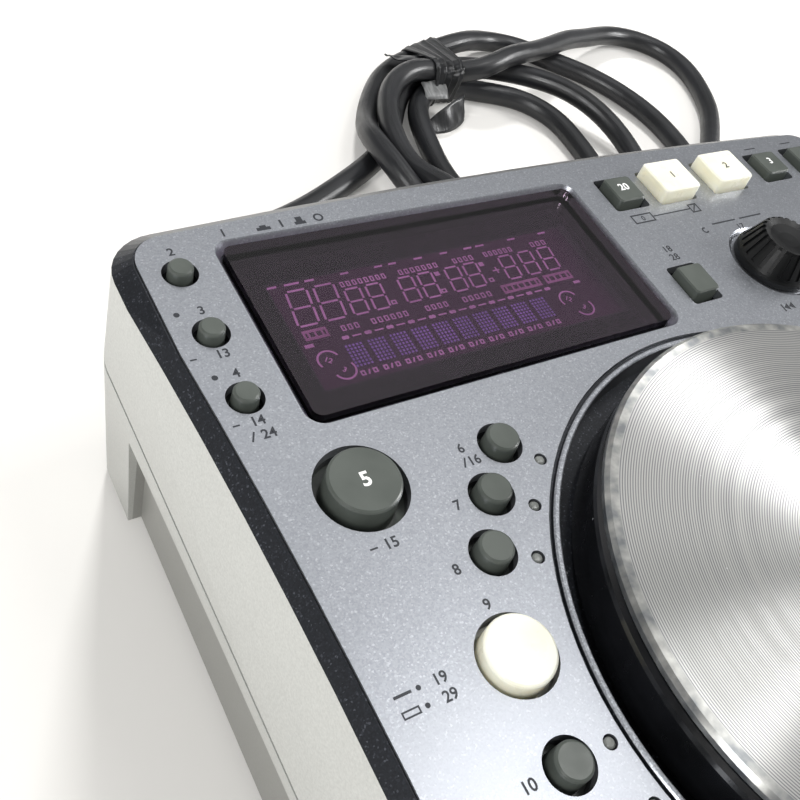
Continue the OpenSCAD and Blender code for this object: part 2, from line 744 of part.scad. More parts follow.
module tray_bezel() {
    s = (bezel_half / corner_x) * (bezel_half / corner_x) * bow;
    color("gainsboro")
    translate([0, 0, bezel_z]) linear_extrude(height = bezel_h) polygon([
        [-bezel_half, tray_front + s], [-bezel_half / 2, tray_front + s / 4], [0, tray_front],
        [bezel_half / 2, tray_front + s / 4], [bezel_half, tray_front + s],
        [bezel_half, bezel_back], [-bezel_half, bezel_back]
    ]);
}

module gear(pitch_r, teeth, h, bore) {
    difference() {
        union() {
            cylinder(h = h, r = pitch_r - 1.2);
            for (i = [0 : teeth - 1]) rotate([0, 0, i * 360 / teeth]) linear_extrude(height = h)
                polygon([
                    [pitch_r - 1.5, -0.94], [pitch_r, -0.62], [pitch_r + 0.8, -0.34],
                    [pitch_r + 0.8, 0.34], [pitch_r, 0.62], [pitch_r - 1.5, 0.94]
                ]);
        }
        translate([0, 0, -1]) cylinder(h = h + 2, r = bore);
    }
}

module tray_gear() {
    color([0.9, 0.9, 0.85])
    translate([gear_at[0], gear_at[1], gear_z]) gear(gear_r, gear_teeth, tray_z - gear_z - 0.6, 2.05);
}

rail_z = bezel_z + bezel_h + 0.7;     // top of the drive's side rails
rail_in = tray_w / 2 + seat;
rail_out = rail_in + 6;
drive_front = bezel_back + 7;
drive_back = tray_back + 8;
drive_top = drive_z + 2;
rod_x = 18;
rod_z = drive_top + 2.8;
sled_front = hub_y + 20;
sled_len = 24;
sled_travel = 36;
rod_front = hub_y + 15.5;
rod_back = sled_front + sled_len + sled_travel + 1;
hold_y = hub_y - 2;
feed_lead = 3;                        // travel of the pickup for one turn of its screw

module drive_frame() {
    color([0.35, 0.36, 0.38])
    difference() {
        union() {
            translate([-rail_out, drive_front, drive_z])
                cube([2 * rail_out, drive_back - drive_front, 2]);
            for (side = [0, 1]) mirror([side, 0, 0]) {
                // rail with a ledge below the tray and a hold-down above it
                translate([rail_in, drive_front, drive_z]) cube([6, drive_back - drive_front, rail_z - drive_z]);
                translate([rail_in - 3.6, drive_front, tray_z - seat - 2])
                    cube([4, drive_back - drive_front, 2]);
                translate([rail_in - 3.6, hold_y, tray_z + tray_t + seat])
                    cube([4, drive_back - hold_y, 2]);
                // blocks that hold the rods
                for (y = [rod_front - 4, rod_back]) translate([rod_x - 3, y, drive_z])
                    cube([6, 4, rod_z + 2 - drive_z]);
            }
            translate([-rail_out, drive_back - 2, drive_z]) cube([2 * rail_out, 2, rail_z - drive_z]);
            // axle of the tray gear
            translate([gear_at[0], gear_at[1], drive_z]) {
                cylinder(h = gear_z - seat - drive_z, r = 3.5);
                cylinder(h = tray_z - 0.4 - drive_z, r = 2);
            }
        }
        for (side = [-1, 1]) translate([side * rod_x, rod_front - 5, rod_z]) rotate([-90, 0, 0])
            cylinder(h = rod_back - rod_front + 10, r = 1.55);
        // window under the pickup
        translate([-10, sled_front, drive_z - 1]) cube([20, sled_len + sled_travel, 4]);
    }
}

module guide_rod() {
    color([0.8, 0.8, 0.8])
    translate([-rod_x, rod_front - 4, rod_z]) rotate([-90, 0, 0])
        cylinder(h = rod_back - rod_front + 8, r = 1.5);
}

module feed_screw() {
    pitch = feed_lead;
    n = floor((rod_back - rod_front - 2) / pitch);
    color([0.75, 0.7, 0.5])
    translate([rod_x, rod_front - 4, rod_z]) rotate([-90, 0, 0]) rotate_extrude($fn = 32) polygon(concat(
        [[0, 0], [1.5, 0], [1.5, 5]],
        [for (k = [0 : n - 1]) each [[1.2, 5.4 + k * pitch], [1.5, 6.6 + k * pitch], [1.5, 7.6 + k * pitch]]],
        [[1.5, rod_back - rod_front + 8], [0, rod_back - rod_front + 8]]
    ));
}

module pickup_sled() {
    z0 = drive_top + 0.6;
    color([0.12, 0.12, 0.12])
    translate([0, sled_front, 0]) difference() {
        union() {
            translate([-14, 0, z0]) cube([28, sled_len, 6]);
            for (side = [-1, 1], y = [1, sled_len - 7]) translate([side * (rod_x - 1) - 4, y, z0])
                cube([8, 6, 5]);
            translate([-6, 5, z0 + 5]) cube([12, 14, 2.2]);
            // lens
            translate([0, 12, z0 + 7]) rotate_extrude($fn = 48) polygon([
                [0, 0], [3.4, 0], [3.4, 0.8], [2.4, 1.1], [1.2, 1.35], [0, 1.4]
            ]);
        }
        for (side = [-1, 1]) translate([side * rod_x, -1, rod_z]) rotate([-90, 0, 0])
            cylinder(h = sled_len + 2, r = 1.56);
    }
}

hub_top = tray_z + 3;                 // the disc rests here when it spins

module spindle_motor() {
    color([0.7, 0.7, 0.7])
    translate([0, hub_y, drive_top]) difference() {
        cylinder(h = 3.9, r = 12);
        translate([0, 0, 0.8]) cylinder(h = 10, r = 1.55);
    }
}

module turntable_hub() {
    z0 = drive_top + 4.2;
    color([0.15, 0.15, 0.15])
    translate([0, hub_y, 0]) {
        rotate_extrude($fn = 96) polygon([
            [0, drive_top + 1.1], [1.5, drive_top + 1.1], [1.5, z0], [14, z0], [15, z0 + 1],
            [15, hub_top], [8.4, hub_top], [8.4, hub_top - 0.8], [7.4, hub_top - 0.8],
            [7.4, hub_top + 1.4], [5.2, hub_top + 2.8], [0, hub_top + 2.8]
        ]);
    }
}

module clamp_bridge() {
    color([0.6, 0.6, 0.62])
    difference() {
        translate([-rail_out, hub_y - 16, rail_z]) cube([2 * rail_out, 32, 2.4]);
        translate([0, hub_y, rail_z - 1]) cylinder(h = 5, r = 5.06);
    }
}

module clamp_puck() {
    z = tray_z + tray_t + 0.4;
    color([0.18, 0.18, 0.18])
    translate([0, hub_y, 0]) rotate_extrude($fn = 64) polygon([
        [0, z], [13, z], [13, rail_z - 0.4], [5, rail_z - 0.4], [5, rail_z + 2.7], [8, rail_z + 2.7],
        [8, rail_z + 4.2], [0, rail_z + 4.2]
    ]);
}

// ---------- electronics ----------

module main_board() {
    color([0.1, 0.35, 0.22]) {
        translate([-88, 0, main_z]) cube([176, 108, 1.6]);
        // processor, memory, connectors and capacitors
        translate([-14, 60, main_z + 1.5]) cube([20, 20, 1.8]);
        translate([20, 62, main_z + 1.5]) cube([16, 10, 1.5]);
        translate([-60, 20, main_z + 1.5]) cube([24, 5, 6]);
        translate([50, 20, main_z + 1.5]) cube([24, 5, 6]);
        for (x = [-70, -60, 60, 70]) translate([x, 90, main_z + 1.5]) cylinder(h = 7, r = 3.2);
    }
}

module power_supply() {
    color([0.75, 0.65, 0.3]) {
        translate([-90, 52, psu_z]) cube([56, 70, 1.6]);
        // transformer: core, winding and bobbin, with two smoothing capacitors
        translate([-84, 76, psu_z + 1.5]) cube([34, 28, 24]);
        translate([-80, 70, psu_z + 5]) cube([26, 40, 16]);
        for (y = [80, 96]) translate([-42, y, psu_z + 1.5]) cylinder(h = 20, r = 6);
        translate([-84, 56, psu_z + 1.5]) cube([20, 8, 10]);
        // push switch, carried by its bracket under the back wall
        translate([power_at[0] - 7, room_half_d - 26, power_at[1] - 5]) cube([14, 18, 10]);
        translate([power_at[0] - 7, room_half_d - 12, psu_z]) cube([14, 2, power_at[1] - psu_z]);
        translate([power_at[0] - 7, 116, psu_z]) cube([14, room_half_d - 123, 1.6]);
    }
}

power_w = 9;
power_travel = 3;

module power_button() {
    y1 = half_d + bow * (1 - (power_at[0] / corner_x) * (power_at[0] / corner_x));
    color([0.15, 0.15, 0.16])
    translate([power_at[0], 0, power_at[1]]) {
        translate([-power_w / 2, room_half_d - 4, -power_w / 2])
            cube([power_w, y1 + 1.5 - room_half_d + 4, power_w]);
        translate([-2.5, room_half_d - 8 + power_travel + 0.2, -2.5])
            cube([5, 5, 5]);
    }
}

module rear_jacks() {
    y1 = room_half_d - seat;
    color([0.12, 0.12, 0.12]) difference() {
        union() {
            translate([rca_x[0] - 8, y1 - 11, floor_in]) cube([start_x - rca_x[0] + 14, 11, jack_z + 8 - floor_in]);
            for (x = rca_x) translate([x, y1 - 0.5, jack_z]) rotate([-90, 0, 0])
                cylinder(h = half_d + bow + 3 - y1, r = 4.15);
            translate([start_x, y1 - 0.5, jack_z]) rotate([-90, 0, 0])
                cylinder(h = half_d + 1.2 - y1, r = 3.1);
        }
        for (x = rca_x) translate([x, y1, jack_z]) rotate([-90, 0, 0])
            cylinder(h = 30, r = 1.6);
        translate([start_x, y1 - 6, jack_z]) rotate([-90, 0, 0])
            cylinder(h = 30, r = 1.8);
    }
}

module case_screws() {
    color([0.3, 0.3, 0.3])
    for (p = boss_at) translate([p[0], p[1], 0]) {
        translate([0, 0, base_z + 0.4]) cylinder(h = 2, r = 3);
        translate([0, 0, base_z + 2]) cylinder(h = upper_z + 12 - base_z, r = 1.2);
    }
}

module rubber_feet() {
    color([0.12, 0.12, 0.12])
    for (x = [-86, 86], y = [-114, 114]) translate([x, y, 0]) rotate_extrude($fn = 48) polygon([
        [0, 0], [foot_d / 2 - 1, 0], [foot_d / 2 - 0.3, 0.5], [foot_d / 2, foot_h], [0, foot_h]
    ]);
}

// ---------- mains cord ----------

relief_r = 5.5;
relief_len = 20;
relief_y = half_d + bow * (1 - (cord_at[0] / corner_x) * (cord_at[0] / corner_x));
cord_y = relief_y + relief_len;       // the cord leaves the strain relief here
lie_z = cord_d / 2 + 0.05;            // height of the cord's middle on the floor

module strain_relief() {
    color([0.1, 0.1, 0.1])
    translate([cord_at[0], 0, cord_at[1]]) rotate([-90, 0, 0]) rotate_extrude($fn = 48) polygon([
        [0, room_half_d - 4], [relief_r + 1.5, room_half_d - 4], [relief_r + 1.5, room_half_d - seat],
        [relief_r, room_half_d - seat], [relief_r, relief_y + 0.1], [relief_r + 1.6, relief_y + 0.1],
        [relief_r + 1.6, relief_y + 1.8], [relief_r + 0.2, relief_y + 2.4], [cord_d / 2 + 0.5, cord_y],
        [0, cord_y]
    ]);
}

// Route of the cord, measured from a point just past the strain relief: out to the hank,
// and from the hank to the plug
cord_from = [cord_at[0], cord_y + 7.98, 0];
out_points = [
    [0, -8, 27], [0, -2, 26.6], [1.5, 5, 23], [6, 12, 17], [13, 18.5, 11], [22.5, 24, 6.5],
    [34, 28.5, 4.5], [46.5, 33, lie_z], [58.5, 38.5, lie_z], [73.5, 46, lie_z], [88, 54.5, lie_z]
];
plug_points = [
    [191, 96, 13], [206, 102.5, 11.5], [221.5, 106, 8.5], [237, 111.5, 6], [253.5, 110.5, lie_z],
    [266, 100, lie_z], [270, 84, lie_z], [265, 67.5, lie_z], [258, 52.5, lie_z], [246.5, 39.5, lie_z],
    [235, 28, lie_z], [226, 14, 9], [225.5, 2.5, 9], [225, -3, 9]
];

// Outline of the loosely looped hank, and of the hole in it
hank_outer = [
    [75, 41], [80, 67], [97, 93], [119, 109], [146, 114], [170, 119], [195, 109], [215, 90], [229, 64],
    [229, 33], [216, 2], [193, -15], [162, -22], [130, -22.5], [101, -10], [83, 16]
];
hank_inner = [
    [110, 29], [112, 51], [120, 73], [136, 83], [154, 77], [169, 62], [170, 38], [160, 16], [140, 9],
    [122, 13]
];
hank_h = 21;

// Smooth curves through the middle of a row of points
function blend4(a, b, c, d, t) = (
    (1 - t) * (1 - t) * (1 - t) * a + (3 * t * t * t - 6 * t * t + 4) * b
    + (3 * t * t - 3 * t * t * t + 3 * t + 1) * c + t * t * t * d
) / 6;
function smooth_row(p, steps) = let (
    last = len(p) - 1,
    q = concat([p[0], p[0]], p, [p[last], p[last]])
) concat(
    [for (i = [0 : len(q) - 4], k = [0 : steps - 1]) blend4(q[i], q[i + 1], q[i + 2], q[i + 3], k / steps)],
    [p[last]]
);
function smooth_ring(p, steps) = let (n = len(p)) [
    for (i = [0 : n - 1], k = [0 : steps - 1])
        blend4(p[i], p[(i + 1) % n], p[(i + 2) % n], p[(i + 3) % n], k / steps)
];

function unit(v) = v / norm(v);
function along(p, i) =
    unit(p[min(i + 1, len(p) - 1)] - p[max(i - 1, 0)]);
function across(t) = unit(cross([0, 0, 1], t));
function ring_points(p, t, r, n) = [
    for (k = [0 : n - 1]) p + r * (cos(360 * k / n) * across(t) + sin(360 * k / n) * cross(t, across(t)))
];

module sweep(p, r, n = 10) {
    m = len(p);
    points = [for (i = [0 : m - 1]) each ring_points(p[i], along(p, i), r, n)];
    sides = [for (i = [0 : m - 2], k = [0 : n - 1]) [
        i * n + k, i * n + (k + 1) % n, (i + 1) * n + (k + 1) % n, (i + 1) * n + k
    ]];
    ends = [[for (k = [n - 1 : -1 : 0]) k], [for (k = [0 : n - 1]) (m - 1) * n + k]];
    polyhedron(points = points, faces = concat(sides, ends));
}

module power_cord() {
    color([0.16, 0.16, 0.17])
    translate(cord_from) {
        sweep(smooth_row(out_points, 3), cord_d / 2);
        sweep(smooth_row(plug_points, 3), cord_d / 2);
    }
}

module cord_coil() {
    color([0.16, 0.16, 0.17])
    translate(cord_from + [0, 0, 0.05]) linear_extrude(height = hank_h)
        difference() {
            polygon(smooth_ring(hank_outer, 3));
            polygon(smooth_ring(hank_inner, 3));
        }
}

module mains_plug() {
    end = cord_from + plug_points[len(plug_points) - 1];
    color([0.1, 0.1, 0.1])
    translate([end[0], end[1] + 0.1, end[2]]) rotate([0, 0, 86]) {
        rotate([0, -90, 0]) rotate_extrude($fn = 32) polygon([
            [0, 0], [cord_d / 2 + 0.6, 0], [5.4, 20], [0, 20]
        ]);
        translate([-50, -12, -8.6]) cube([32, 24, 17]);
        // two flat blades
        for (y = [-6.4, 6.4]) translate([-67, y - 0.75, -3]) cube([17.5, 1.5, 6.4]);
    }
}

lower_case();
upper_case();
top_cover();
face_plate();
display_lens();
display_module();
control_board();
tact_switches();
led_lenses();
platter_bearing();
main_board();
power_supply();
rear_jacks();
strain_relief();
case_screws();
rubber_feet();
drive_frame();
guide_rod();
spindle_motor();
clamp_bridge();
pitch_fader();
knob_encoder();
platter_cover();
platter_skirt();
platter_shaft();
select_knob();
pitch_knob();
disc_tray();
tray_bezel();
tray_gear();
turntable_hub();
clamp_puck();
pickup_sled();
feed_screw();
power_button();
title_button();
memo_button();
time_button();
tap_button();
echo_button();
flanger_button();
filter_button();
mode_button();
drag_button();
brake_button();
reverse_button();
cue_button();
play_button();
flip_button();
loop_in_button();
loop_out_button();
cue_b_button();
exit_button();
next_button();
bend_down_button();
bend_up_button();
eject_button();
power_cord();
cord_coil();
mains_plug();
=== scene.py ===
"""Looks of the tabletop disc player: camera, cord, finishes, printing, display, lights and floor.

Metres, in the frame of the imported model: +X right, +Y towards the sockets, +Z up.
"""

import json
import math

import bmesh
import bpy
from mathutils import Matrix, Vector


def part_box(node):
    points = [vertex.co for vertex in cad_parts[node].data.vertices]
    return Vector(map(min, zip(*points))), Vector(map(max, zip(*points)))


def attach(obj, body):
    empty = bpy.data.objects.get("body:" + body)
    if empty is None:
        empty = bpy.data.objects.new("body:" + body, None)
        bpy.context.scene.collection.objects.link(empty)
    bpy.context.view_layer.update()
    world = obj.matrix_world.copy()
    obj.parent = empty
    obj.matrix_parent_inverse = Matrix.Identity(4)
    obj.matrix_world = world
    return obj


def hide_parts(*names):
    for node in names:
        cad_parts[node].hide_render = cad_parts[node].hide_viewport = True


MM = 0.001

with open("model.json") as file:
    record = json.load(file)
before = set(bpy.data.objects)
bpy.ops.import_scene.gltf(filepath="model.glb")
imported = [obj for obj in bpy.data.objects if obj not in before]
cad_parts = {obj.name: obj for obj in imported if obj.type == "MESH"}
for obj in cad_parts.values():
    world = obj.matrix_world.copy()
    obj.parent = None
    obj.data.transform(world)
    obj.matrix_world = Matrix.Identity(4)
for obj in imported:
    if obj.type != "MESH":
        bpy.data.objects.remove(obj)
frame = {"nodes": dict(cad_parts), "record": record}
NODES = frame["nodes"]
scene = bpy.context.scene


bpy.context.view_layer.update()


def middle(node):
    """Middle of a node's box."""
    low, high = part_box(node)
    return (low + high) / 2


def top(node):
    """Height of a node's highest point."""
    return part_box(node)[1].z


# ---------- camera ----------

CAMERA_AT = Vector((-0.15402, -0.00385, 0.2084))
CAMERA_AZIMUTH = math.radians(46.6477)
CAMERA_DOWN = math.radians(48.7587)
CAMERA_ROLL = math.radians(-22.7463)
LENS_MM = 42.569
SENSOR_MM = 36.0


def make_camera():
    """The camera looks down on the back left corner, rolled anticlockwise."""
    level = math.cos(CAMERA_DOWN)
    ahead = Vector((
        math.sin(CAMERA_AZIMUTH) * level,
        math.cos(CAMERA_AZIMUTH) * level,
        -math.sin(CAMERA_DOWN),
    ))
    side = Vector((math.cos(CAMERA_AZIMUTH), -math.sin(CAMERA_AZIMUTH), 0))
    down = ahead.cross(side)
    if down.z > 0:
        down.negate()
    right = math.cos(CAMERA_ROLL) * side + math.sin(CAMERA_ROLL) * down
    below = math.cos(CAMERA_ROLL) * down - math.sin(CAMERA_ROLL) * side
    data = bpy.data.cameras.new("view")
    data.lens = LENS_MM
    data.sensor_width = SENSOR_MM
    data.clip_start = 0.01
    camera = bpy.data.objects.new("view", data)
    turn = Matrix((right, -below, -ahead)).transposed().to_4x4()
    camera.matrix_world = Matrix.Translation(CAMERA_AT) @ turn
    scene.collection.objects.link(camera)
    scene.camera = camera


make_camera()


# ---------- nodes and finishes: shared helpers ----------

# flakes of lacquer are drawn coarser than real ones, so that they just show; orange peel lies over them
FLAKE_MM = 0.3
PEEL_MM = 1.4
PEEL_DEEP_MM = 0.006


def colour(text):
    """An sRGB hex value as the linear colour that Blender works in."""
    parts = [int(text[i:i + 2], 16) / 255 for i in (1, 3, 5)]
    linear = [c / 12.92 if c <= 0.04045 else ((c + 0.055) / 1.055) ** 2.4 for c in parts]
    return (*linear, 1.0)


def feed(tree, socket, value):
    """Gives a socket a constant, a hex colour, or a link from an output, of a node its first."""
    if isinstance(value, bpy.types.Node):
        value = value.outputs[0]
    if isinstance(value, bpy.types.NodeSocket):
        tree.links.new(value, socket)
    else:
        socket.default_value = colour(value) if isinstance(value, str) else value


def put(tree, kind, inputs=None, stops=(), **settings):
    """Adds a node with its settings, the stops of its ramp as (position, hex), and its inputs."""
    made = tree.nodes.new(kind)
    for name, value in settings.items():
        setattr(made, name, value)
    if stops:
        elements = made.color_ramp.elements
        while len(elements) < len(stops):
            elements.new(0.5)
        for element, (position, text) in zip(elements, stops):
            element.position = position
            element.color = colour(text)
    for name, value in (inputs or {}).items():
        feed(tree, made.inputs[name], value)
    return made


def shade(tree, **sockets):
    """Gives sockets of a material's Principled shader constants or patterns."""
    shader = tree.nodes["Principled BSDF"]
    for name, value in sockets.items():
        feed(tree, shader.inputs[name.replace("_", " ")], value)


def start_finish(name, base, roughness, **sockets):
    """A new material with its shader's constants, its tree, and object coordinates for its patterns.

    Object coordinates are in metres on every piece, because each sits at the origin.
    """
    material = bpy.data.materials.new(name)
    material.use_nodes = True
    tree = material.node_tree
    shade(tree, Base_Color=base, Roughness=roughness, **sockets)
    return material, tree, put(tree, "ShaderNodeTexCoord").outputs["Object"]


def mottled(tree, place, size_mm, *stops, detail=2.0):
    """A colour that lumps of about size_mm move between stops."""
    lumps = put(tree, "ShaderNodeTexNoise", {"Vector": place, "Scale": 1 / (size_mm * MM), "Detail": detail})
    return put(tree, "ShaderNodeValToRGB", {"Fac": lumps}, stops)


def uneven(tree, place, size_mm, low, high):
    """A roughness that lumps of about size_mm move between two values."""
    lumps = put(tree, "ShaderNodeTexNoise", {"Vector": place, "Scale": 1 / (size_mm * MM), "Detail": 2.0})
    return put(tree, "ShaderNodeMapRange", {
        "Value": lumps, "From Min": 0.3, "From Max": 0.7, "To Min": low, "To Max": high,
    })


def grained(tree, place, size_mm, depth_mm, detail=2.0):
    """Dents of depth_mm between lumps of about size_mm."""
    lumps = put(tree, "ShaderNodeTexNoise", {"Vector": place, "Scale": 1 / (size_mm * MM), "Detail": detail})
    return put(tree, "ShaderNodeBump", {"Height": lumps, "Distance": depth_mm * MM})


def streaks(tree, place, scale, detail=3.0, turn=0.0):
    """Noise drawn out into lines; scale says how many fit in a unit along each axis."""
    drawn = put(tree, "ShaderNodeMapping", {"Vector": place, "Scale": scale, "Rotation": (0, 0, turn)})
    return put(tree, "ShaderNodeTexNoise", {"Vector": drawn, "Scale": 1.0, "Detail": detail})


def flakes_of(tree, place):
    """A random value for each flake of a metallic lacquer."""
    cells = put(tree, "ShaderNodeTexVoronoi", {"Vector": place, "Scale": 1 / (FLAKE_MM * MM)})
    return put(tree, "ShaderNodeSeparateColor", {"Color": cells.outputs["Color"]})


def from_axis(tree, place, centre):
    """How a place lies from an upright axis: the level vector to it, and its length."""
    out = put(tree, "ShaderNodeVectorMath", {0: place, 1: (centre.x, centre.y, 0)}, operation="SUBTRACT")
    level = put(tree, "ShaderNodeVectorMath", {0: out, 1: (1, 1, 0)}, operation="MULTIPLY")
    return level, put(tree, "ShaderNodeVectorMath", {0: level}, operation="LENGTH").outputs["Value"]


def dust(tree, place, base, speck, spacing_mm, size=0.05):
    """Adds sparse specks of dust to a colour."""
    near = put(tree, "ShaderNodeTexVoronoi", {"Vector": place, "Scale": 1 / (spacing_mm * MM)})
    spot = put(tree, "ShaderNodeMapRange", {
        "Value": near, "From Min": size * 0.5, "From Max": size, "To Min": 0.7, "To Max": 0,
    })
    return put(tree, "ShaderNodeMix", {"Factor": spot, 6: base, 7: speck}, data_type="RGBA").outputs[2]


# ---------- cord ----------

CORD_THICK = 8.2 * MM
CORD_FROM = Vector((-62, 166.73, 0)) * MM
# height of the flex's middle where it lies flat
LIE = 4.15
# the route in millimetres from CORD_FROM: out of the relief and down to the table
ROUTE = [
    (0, -8, 27), (0, -2, 26.6), (1.5, 5, 23), (6, 12, 17), (13, 18.5, 11), (22.5, 24, 6.5),
    (34, 28.5, 4.5), (46.5, 33, LIE), (58.5, 38.5, LIE), (73.5, 46, LIE), (88, 54.5, LIE),
    # first turn of the hank
    (99, 68, LIE), (108, 81.5, LIE), (120.5, 93.5, 5.5), (137.5, 96, 7.5), (153.5, 93, 8),
    (170, 87.5, 7.5), (180.5, 74, 11), (190, 60.5, 10), (195.5, 44.5, 6.5), (194, 28, LIE),
    (188, 12.5, LIE), (176.5, 0.5, LIE), (162, -8, LIE), (145, -8, LIE), (131, 1.5, LIE),
    (117, 9.5, LIE),
    # second turn, inside it
    (106, 22, LIE), (104.5, 39, LIE), (108, 54.5, LIE), (110.5, 70.5, 6), (120.5, 83.5, 5),
    (136, 88, LIE), (150.5, 82, LIE), (165.5, 76, LIE), (174.5, 61, LIE), (173.5, 44.5, LIE),
    (172, 27.5, LIE), (162, 13.5, LIE), (146.5, 6, 5), (131.5, 4.5, 13.5), (114.5, 5, 12),
    (101.5, 12.5, LIE),
    # third turn, outside both
    (86.5, 22, 6.5), (80.5, 36, 14), (79.5, 53, 13.5), (86.5, 67.5, 6.5), (96.5, 82, 5.5),
    (107.5, 95, 5.5), (122, 104, 5), (138.5, 107.5, 7), (155, 109.5, 9.5), (170, 115, 5),
    (186.5, 110.5, LIE), (197.5, 97.5, LIE), (210, 86.5, LIE), (218.5, 72, LIE),
    (223.5, 56, LIE), (223.5, 39, LIE), (220.5, 23, LIE), (213, 7.5, LIE), (200.5, -3.5, LIE),
    (186, -11, LIE), (170, -16, LIE), (153.5, -17.5, LIE), (137, -17.5, LIE),
    (121, -15.5, LIE), (106, -6.5, LIE),
    # half a turn across the top
    (97, 5.5, 12.5), (95, 22.5, 15), (89, 37.5, 9), (88.5, 53.5, 13), (94.5, 68, 12),
    (103, 81.5, 12.5), (117, 88.5, 14.5), (132, 86.5, 11.5), (145.5, 81, 15.5),
    (160.5, 86.5, 17.5), (176, 90.5, 15),
    # loose end, to the plug
    (191, 96, 13), (206, 102.5, 11.5), (221.5, 106, 8.5), (237, 111.5, 6), (253.5, 110.5, LIE),
    (266, 100, LIE), (270, 84, LIE), (265, 67.5, LIE), (258, 52.5, LIE), (246.5, 39.5, LIE),
    (235, 28, LIE), (226, 14, 9), (225.5, 2.5, 9), (225, -3, 9),
]
CORD_STEPS = 5
CORD_SIDES = 20


def smooth_row(points, steps):
    """Cubic blend through a row of points, which starts and ends on its outer ones."""
    held = [points[0]] * 2 + list(points) + [points[-1]] * 2
    row = []
    for i in range(len(held) - 3):
        a, b, c, d = held[i:i + 4]
        for k in range(steps):
            t = k / steps
            row.append((
                (1 - t) ** 3 * a + (3 * t ** 3 - 6 * t * t + 4) * b
                + (3 * t * t - 3 * t ** 3 + 3 * t + 1) * c + t ** 3 * d
            ) / 6)
    row.append(points[-1])
    kept = [row[0]]
    for point in row[1:]:
        if (point - kept[-1]).length > 0.2 * MM:
            kept.append(point)
    return kept


def tube(name, path, radius, sides):
    """A closed round tube along a path, with how far along it each point is as an attribute."""
    count = len(path)
    side = Vector((0, 0, 1))
    points, along = [], []
    run = 0.0
    for i, centre in enumerate(path):
        ahead = (path[min(i + 1, count - 1)] - path[max(i - 1, 0)]).normalized()
        side = (side - side.dot(ahead) * ahead).normalized()
        other = ahead.cross(side)
        if i:
            run += (centre - path[i - 1]).length
        for k in range(sides):
            turn = 2 * math.pi * k / sides
            points.append(centre + radius * (math.cos(turn) * side + math.sin(turn) * other))
            along += [run, turn, 0.0]
    faces = ring_faces(count, sides)
    faces.append(tuple(range(sides - 1, -1, -1)))
    faces.append(tuple((count - 1) * sides + k for k in range(sides)))
    piece = mesh_piece(name, points, faces)
    runs = piece.data.attributes.new("along", "FLOAT_VECTOR", "POINT")
    runs.data.foreach_set("vector", along)
    return piece


def ring_faces(rings, sides):
    """The faces between each closed ring of points and the next."""
    faces = []
    for i in range(rings - 1):
        for k in range(sides):
            a, b = i * sides + k, i * sides + (k + 1) % sides
            faces.append((a, b, b + sides, a + sides))
    return faces


def mesh_piece(name, points, faces, smooth=True):
    """A mesh object at the origin from points and faces."""
    mesh = bpy.data.meshes.new(name)
    mesh.from_pydata([tuple(p) for p in points], [], faces)
    mesh.update()
    piece = bpy.data.objects.new(name, mesh)
    scene.collection.objects.link(piece)
    if smooth:
        mesh.shade_smooth()
    return piece


def dress(piece, finish, body="case"):
    """Gives a piece its finish and its body."""
    piece.data.materials.clear()
    piece.data.materials.append(finish)
    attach(piece, body)
    return piece


def pvc_jacket():
    """Soft PVC flex jacket, extruded: a satin black that shows faint ripples and lengthwise draw lines."""
    material, tree, place = start_finish(
        "pvc_jacket", "#1C1D1F", 0.36, Specular_IOR_Level=0.5, Coat_Weight=0.1, Coat_Roughness=0.3,
    )
    runs = put(tree, "ShaderNodeAttribute", attribute_name="along").outputs["Vector"]
    # draw lines 0.8 mm apart round the jacket, long in the run's direction, over lumps of 9 mm
    lines = streaks(tree, runs, (60, 5, 1))
    lumps = put(tree, "ShaderNodeTexNoise", {"Vector": place, "Scale": 1 / (9 * MM), "Detail": 2.0})
    height = put(tree, "ShaderNodeMath", {0: lines, 1: lumps}, operation="ADD")
    shade(
        tree, Base_Color=mottled(tree, place, 25, (0.35, "#17181A"), (0.65, "#222326")),
        Roughness=uneven(tree, place, 6, 0.3, 0.44),
        Normal=put(tree, "ShaderNodeBump", {"Height": height, "Distance": 0.12 * MM}),
    )
    return material


def make_cord(finish):
    """The mains flex, from the strain relief through its tied loops to the plug."""
    path = smooth_row([CORD_FROM + Vector(p) * MM for p in ROUTE], CORD_STEPS)
    cord = tube("mains_flex", path, CORD_THICK / 2, CORD_SIDES)
    dress(cord, finish)
    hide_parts("power_cord", "cord_coil")
    return cord, path


def vinyl_tape(name, dark, light):
    """Black vinyl tape, calendered, or its grey glue side: a soft shine, with stretch wrinkles across it
    whose hollows are painted darker as shade.
    """
    material, tree, place = start_finish(name, light, 0.34, Specular_IOR_Level=0.5)
    creases = streaks(tree, place, (900, 180, 300))
    # painted shade: the colour is darker in the hollows of the wrinkles
    shade(
        tree, Base_Color=put(tree, "ShaderNodeValToRGB", {"Fac": creases}, [(0.35, dark), (0.7, light)]),
        Normal=put(tree, "ShaderNodeBump", {"Height": creases, "Distance": 0.12 * MM}),
    )
    return material


# the tape's band, in millimetres from CORD_FROM: its near end, its length and the strands it holds
TIE_FROM = 124.5
TIE_LONG = 16.0
TIE_STRANDS = (74, 112)
TIE_TURNS = 4
# how much shorter the band is on its side near the case, as a share of its length
TIE_LEAN = 0.36
# the tape stands off the strands by the first, and rises by the second over this share of a turn
TIE_LIFT = 0.5
TIE_STEP = 0.6
TIE_CLIMB = 0.85
TAPE_THICK = 0.4


def crossings(path, x):
    """Where the strands of the bundle pass a plane across it, as (y, z)."""
    near, far = TIE_STRANDS
    found = []
    for a, b in zip(path, path[1:]):
        if (a.x - x) * (b.x - x) < 0:
            at = a.lerp(b, (x - a.x) / (b.x - a.x))
            if near * MM < at.y - CORD_FROM.y < far * MM:
                found.append((at.y, at.z))
    return found


